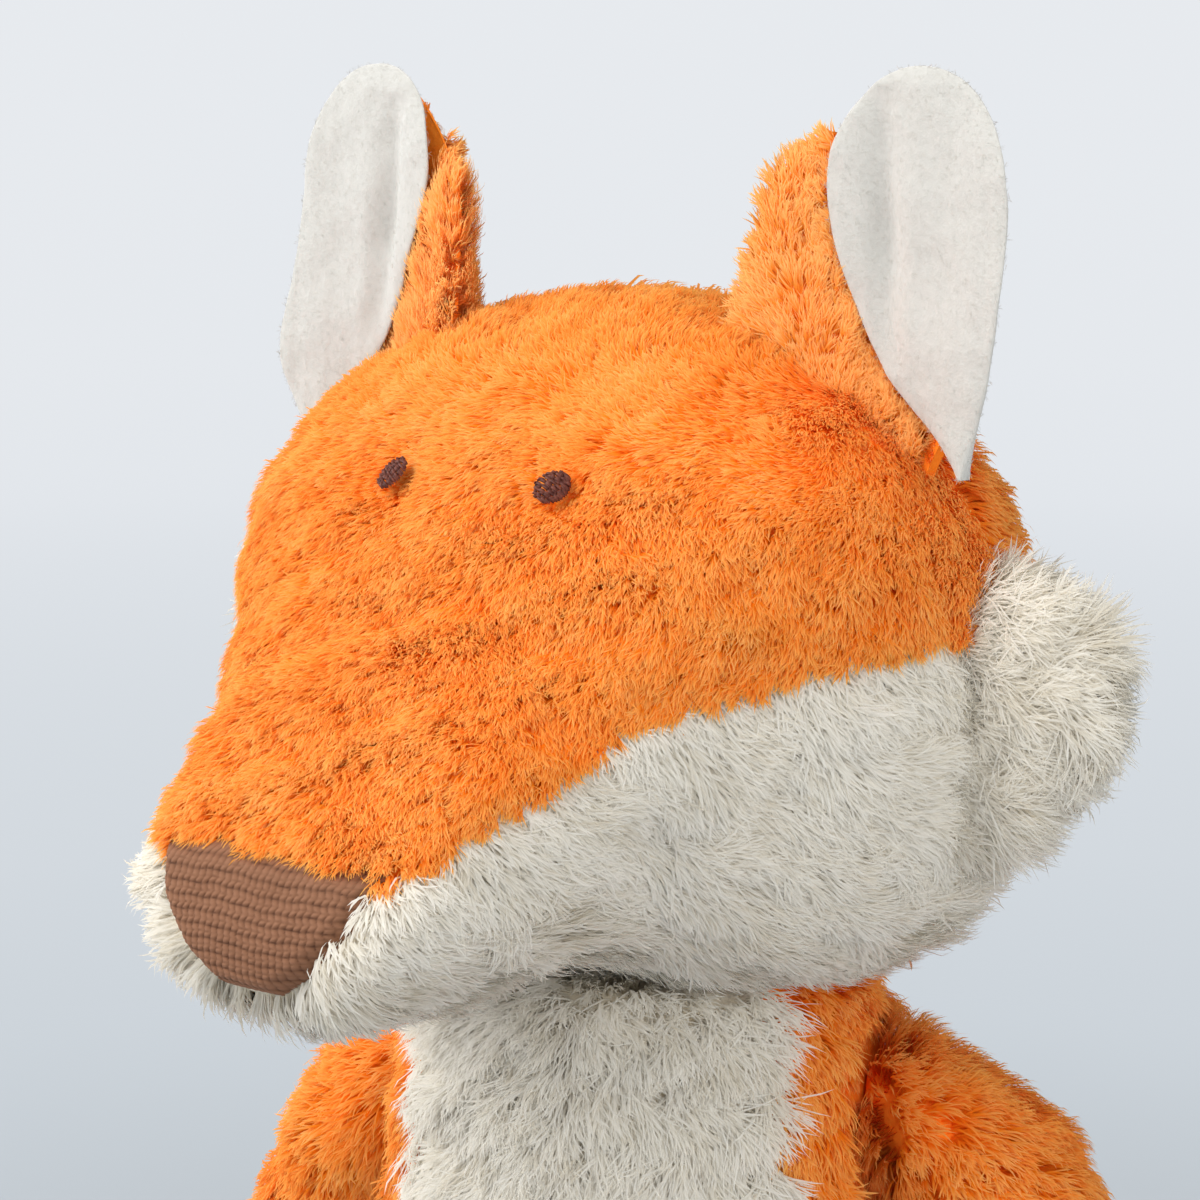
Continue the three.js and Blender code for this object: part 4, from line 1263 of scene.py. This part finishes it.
sew_limb("arm", 1, "left", arm_spine, arm_girths, ARM_FULLNESS, 130)
sew_limb("arm", -1, "right", arm_spine * [0.8, 1, 1], arm_girths, ARM_FULLNESS, 140)
sew_limb("leg", 1, "left", leg_spine, leg_girths, LEG_FULLNESS, 150)
sew_limb("leg", -1, "right", leg_spine, leg_girths, LEG_FULLNESS, 160)

# Tail: a bushy stuffed brush of orange plush lying on the table behind the torso, its last
# third cream.
TAIL_LENGTH, TAIL_GIRTH, TAIL_FULLNESS = 118, 44, 4
TAIL_ROOT = np.array([0, 26.0, 20.0])
TAIL_SEAM_Y, TAIL_END_Y = TAIL_ROOT[1] + TAIL_LENGTH - 40, TAIL_ROOT[1] + TAIL_LENGTH + 40
tail_shares = np.array([-0.1, 0.16, 0.4, 0.7, 1])
tail_radii = np.array([0.36, 0.5, 0.9, 1, 0.56]) * TAIL_GIRTH / 2
tail_heights = np.where(np.arange(5) < 2, TAIL_ROOT[2], tail_radii - 0.5)
tail_heights = tail_heights + np.array([0, 0, 0, 0.02, 0.2]) * TAIL_GIRTH
tail_spine = ways(0, TAIL_ROOT[1] + tail_shares * TAIL_LENGTH, tail_heights)
tail_form = (tail_spine, np.stack([tail_radii] * 2, 1), TAIL_FULLNESS)
points, triangles = limb(*tail_form, 90, 72, PILE_DEPTH)
points[:, 2] = np.maximum(points[:, 2], COVER_FLOOR)
tipped = points[triangles].mean(1)[:, 1] > TAIL_SEAM_Y
panel("tail_cover", points, triangles[~tipped], orange_backing, "tail")
panel("tail_tip", points, triangles[tipped], cream_backing, "tail")
for name, span, material, slot, seed, spacing, length, shag, width, lean in (
    ("tail_pile", (38, TAIL_SEAM_Y), orange_pile, "orange_plush", 161, 1.6, 8.5, 1.4, 0.4, 0.74),
    (
        "tail_tip_pile", (TAIL_SEAM_Y, TAIL_END_Y), cream_pile, "cream_plush", 171, 1.5, 9.5, 1.6,
        0.38, 0.76,
    ),
):
    pile_on(
        name, points, triangles,
        lambda p, span=span: (p[:, 1] > span[0]) & (p[:, 1] < span[1]) & (p[:, 2] > PILE_FLOOR),
        lambda p: [[0.0, 1.0, 0.05]], material, "tail", seed, spacing=spacing,
        length=length, strands=15, spread=1.35, width=width, clump=0.85, shag=shag, lean=lean,
    )
core_points, core_triangles = limb(*tail_form, 30, 28, 6.0)
filling("tail", core_points, core_triangles, "tail")

# Camera, at the photograph's viewing angle: a long lens a little above the toy and to its
# left.
VIEW_AZIMUTH = math.radians(23)
VIEW_ELEVATION = math.radians(8)
VIEW_DISTANCE = 0.480
VIEW_TARGET = Vector((-0.0042, -0.0118, 0.196))
camera = bpy.data.objects.new("camera", bpy.data.cameras.new("camera"))
bpy.context.scene.collection.objects.link(camera)
back = Vector((
    math.sin(VIEW_AZIMUTH) * math.cos(VIEW_ELEVATION),
    -math.cos(VIEW_AZIMUTH) * math.cos(VIEW_ELEVATION),
    math.sin(VIEW_ELEVATION),
))
camera.location = VIEW_TARGET + back * VIEW_DISTANCE
camera.rotation_mode = "QUATERNION"
camera.rotation_quaternion = (-back).to_track_quat("-Z", "Y")
camera.data.lens = 96
camera.data.sensor_width = 36
camera.data.clip_start = 0.01
camera.data.clip_end = 20
bpy.context.scene.camera = camera

# Light: a large soft lamp at the front left, one beside the toy and a weak one at the right,
# all aimed at its neck, and an even world.
LIT_POINT = Vector((0, 0, 0.16))


def lamp(name, place, size, power, colour):
    light = bpy.data.lights.new(name, "AREA")
    light.shape = "DISK"
    light.size = size
    light.energy = power
    light.color = colour
    hung = bpy.data.objects.new(name, light)
    hung.location = place
    hung.rotation_mode = "QUATERNION"
    hung.rotation_quaternion = (LIT_POINT - Vector(place)).to_track_quat("-Z", "Y")
    bpy.context.scene.collection.objects.link(hung)


lamp("side", (-1.7, 0.1, 0.5), 1.4, 18, (1.0, 0.99, 0.97))
lamp("key", (-1.3, -1.15, 1.45), 2.0, 47, (1.0, 0.985, 0.96))
lamp("fill", (1.5, -1.3, 0.5), 1.8, 29, (1.0, 0.99, 0.97))
world = bpy.data.worlds.new("world")
world.use_nodes = True
bpy.context.scene.world = world
nodes, links = world.node_tree.nodes, world.node_tree.links
nodes.clear()
out = new_node(nodes, "ShaderNodeOutputWorld")
ambient = new_node(nodes, "ShaderNodeBackground", {0: (1.0, 0.985, 0.955, 1), 1: 0.95})
seen = new_node(nodes, "ShaderNodeBackground", {0: srgb(222, 229, 236), 1: 1})
path = new_node(nodes, "ShaderNodeLightPath")
which = new_node(nodes, "ShaderNodeMixShader")
links.new(path.outputs["Is Camera Ray"], which.inputs[0])
links.new(ambient.outputs[0], which.inputs[1])
links.new(seen.outputs[0], which.inputs[2])
links.new(which.outputs[0], out.inputs[0])

# Backdrop: a plain pale sheet, flat under the toy and swept up into a wall all round it. Near the
# toy it takes the light and its shadow, and farther off it glows for the camera: painted light,
# darker near the toy and paler farther out.
AROUND = 96
profile = [
    (0.35, 0.0), (0.8, 0.0), (1.5, 0.0), (2.2, 0.0), (2.6, 0.06), (2.9, 0.25), (3.1, 0.6),
    (3.2, 1.2), (3.25, 3.5),
]
sweep = bmesh.new()
rings = [
    [
        sweep.verts.new((radius * math.cos(t), radius * math.sin(t), height))
        for t in np.arange(AROUND) * 2 * np.pi / AROUND
    ]
    for radius, height in profile
]
sweep.faces.new(rings[0])
for low, high in zip(rings, rings[1:]):
    for k in range(AROUND):
        after = (k + 1) % AROUND
        sweep.faces.new((low[k], high[k], high[after], low[after]))
sweep_mesh = bpy.data.meshes.new("backdrop")
sweep.to_mesh(sweep_mesh)
sweep.free()
sweep_mesh.polygons.foreach_set("use_smooth", np.ones(len(sweep_mesh.polygons), bool))
backdrop = bpy.data.objects.new("backdrop", sweep_mesh)
bpy.context.scene.collection.objects.link(backdrop)
paper, nodes, links, shader = new_material("backdrop_paper", {
    "Base Color": srgb(168, 174, 180), "Roughness": 1, "Specular IOR Level": 0,
})
spot = new_node(nodes, "ShaderNodeTexCoord")
distance = new_node(nodes, "ShaderNodeVectorMath", operation="LENGTH")
shrunk = new_node(nodes, "ShaderNodeMath", {1: 0.28}, operation="MULTIPLY")
# The glow's colour, by distance from the toy: painted light that stands in for the lit sheet.
painted_light_fade = ramp_node(nodes, [
    (0.06, srgb(198, 206, 213)), (0.2, srgb(211, 217, 223)), (0.55, srgb(226, 230, 235)),
    (0.9, srgb(232, 235, 239)),
])
glow = new_node(nodes, "ShaderNodeEmission")
path = new_node(nodes, "ShaderNodeLightPath")
near = new_node(
    nodes, "ShaderNodeMapRange", {"From Min": 0.15, "From Max": 0.5},
    interpolation_type="SMOOTHSTEP",
)
seen = new_node(nodes, "ShaderNodeMath", operation="MULTIPLY")
shown = new_node(nodes, "ShaderNodeMixShader")
for source, target in (
    (spot.outputs["Object"], distance.inputs[0]),
    (distance.outputs["Value"], shrunk.inputs[0]),
    (shrunk.outputs[0], painted_light_fade.inputs[0]),
    (painted_light_fade.outputs[0], glow.inputs[0]),
    (distance.outputs["Value"], near.inputs["Value"]),
    (path.outputs["Is Camera Ray"], seen.inputs[0]),
    (near.outputs["Result"], seen.inputs[1]),
    (seen.outputs[0], shown.inputs[0]),
    (shader.outputs[0], shown.inputs[1]),
    (glow.outputs[0], shown.inputs[2]),
    (shown.outputs[0], nodes["Material Output"].inputs[0]),
):
    links.new(source, target)
backdrop.data.materials.append(paper)

bpy.context.scene.view_settings.view_transform = "Standard"
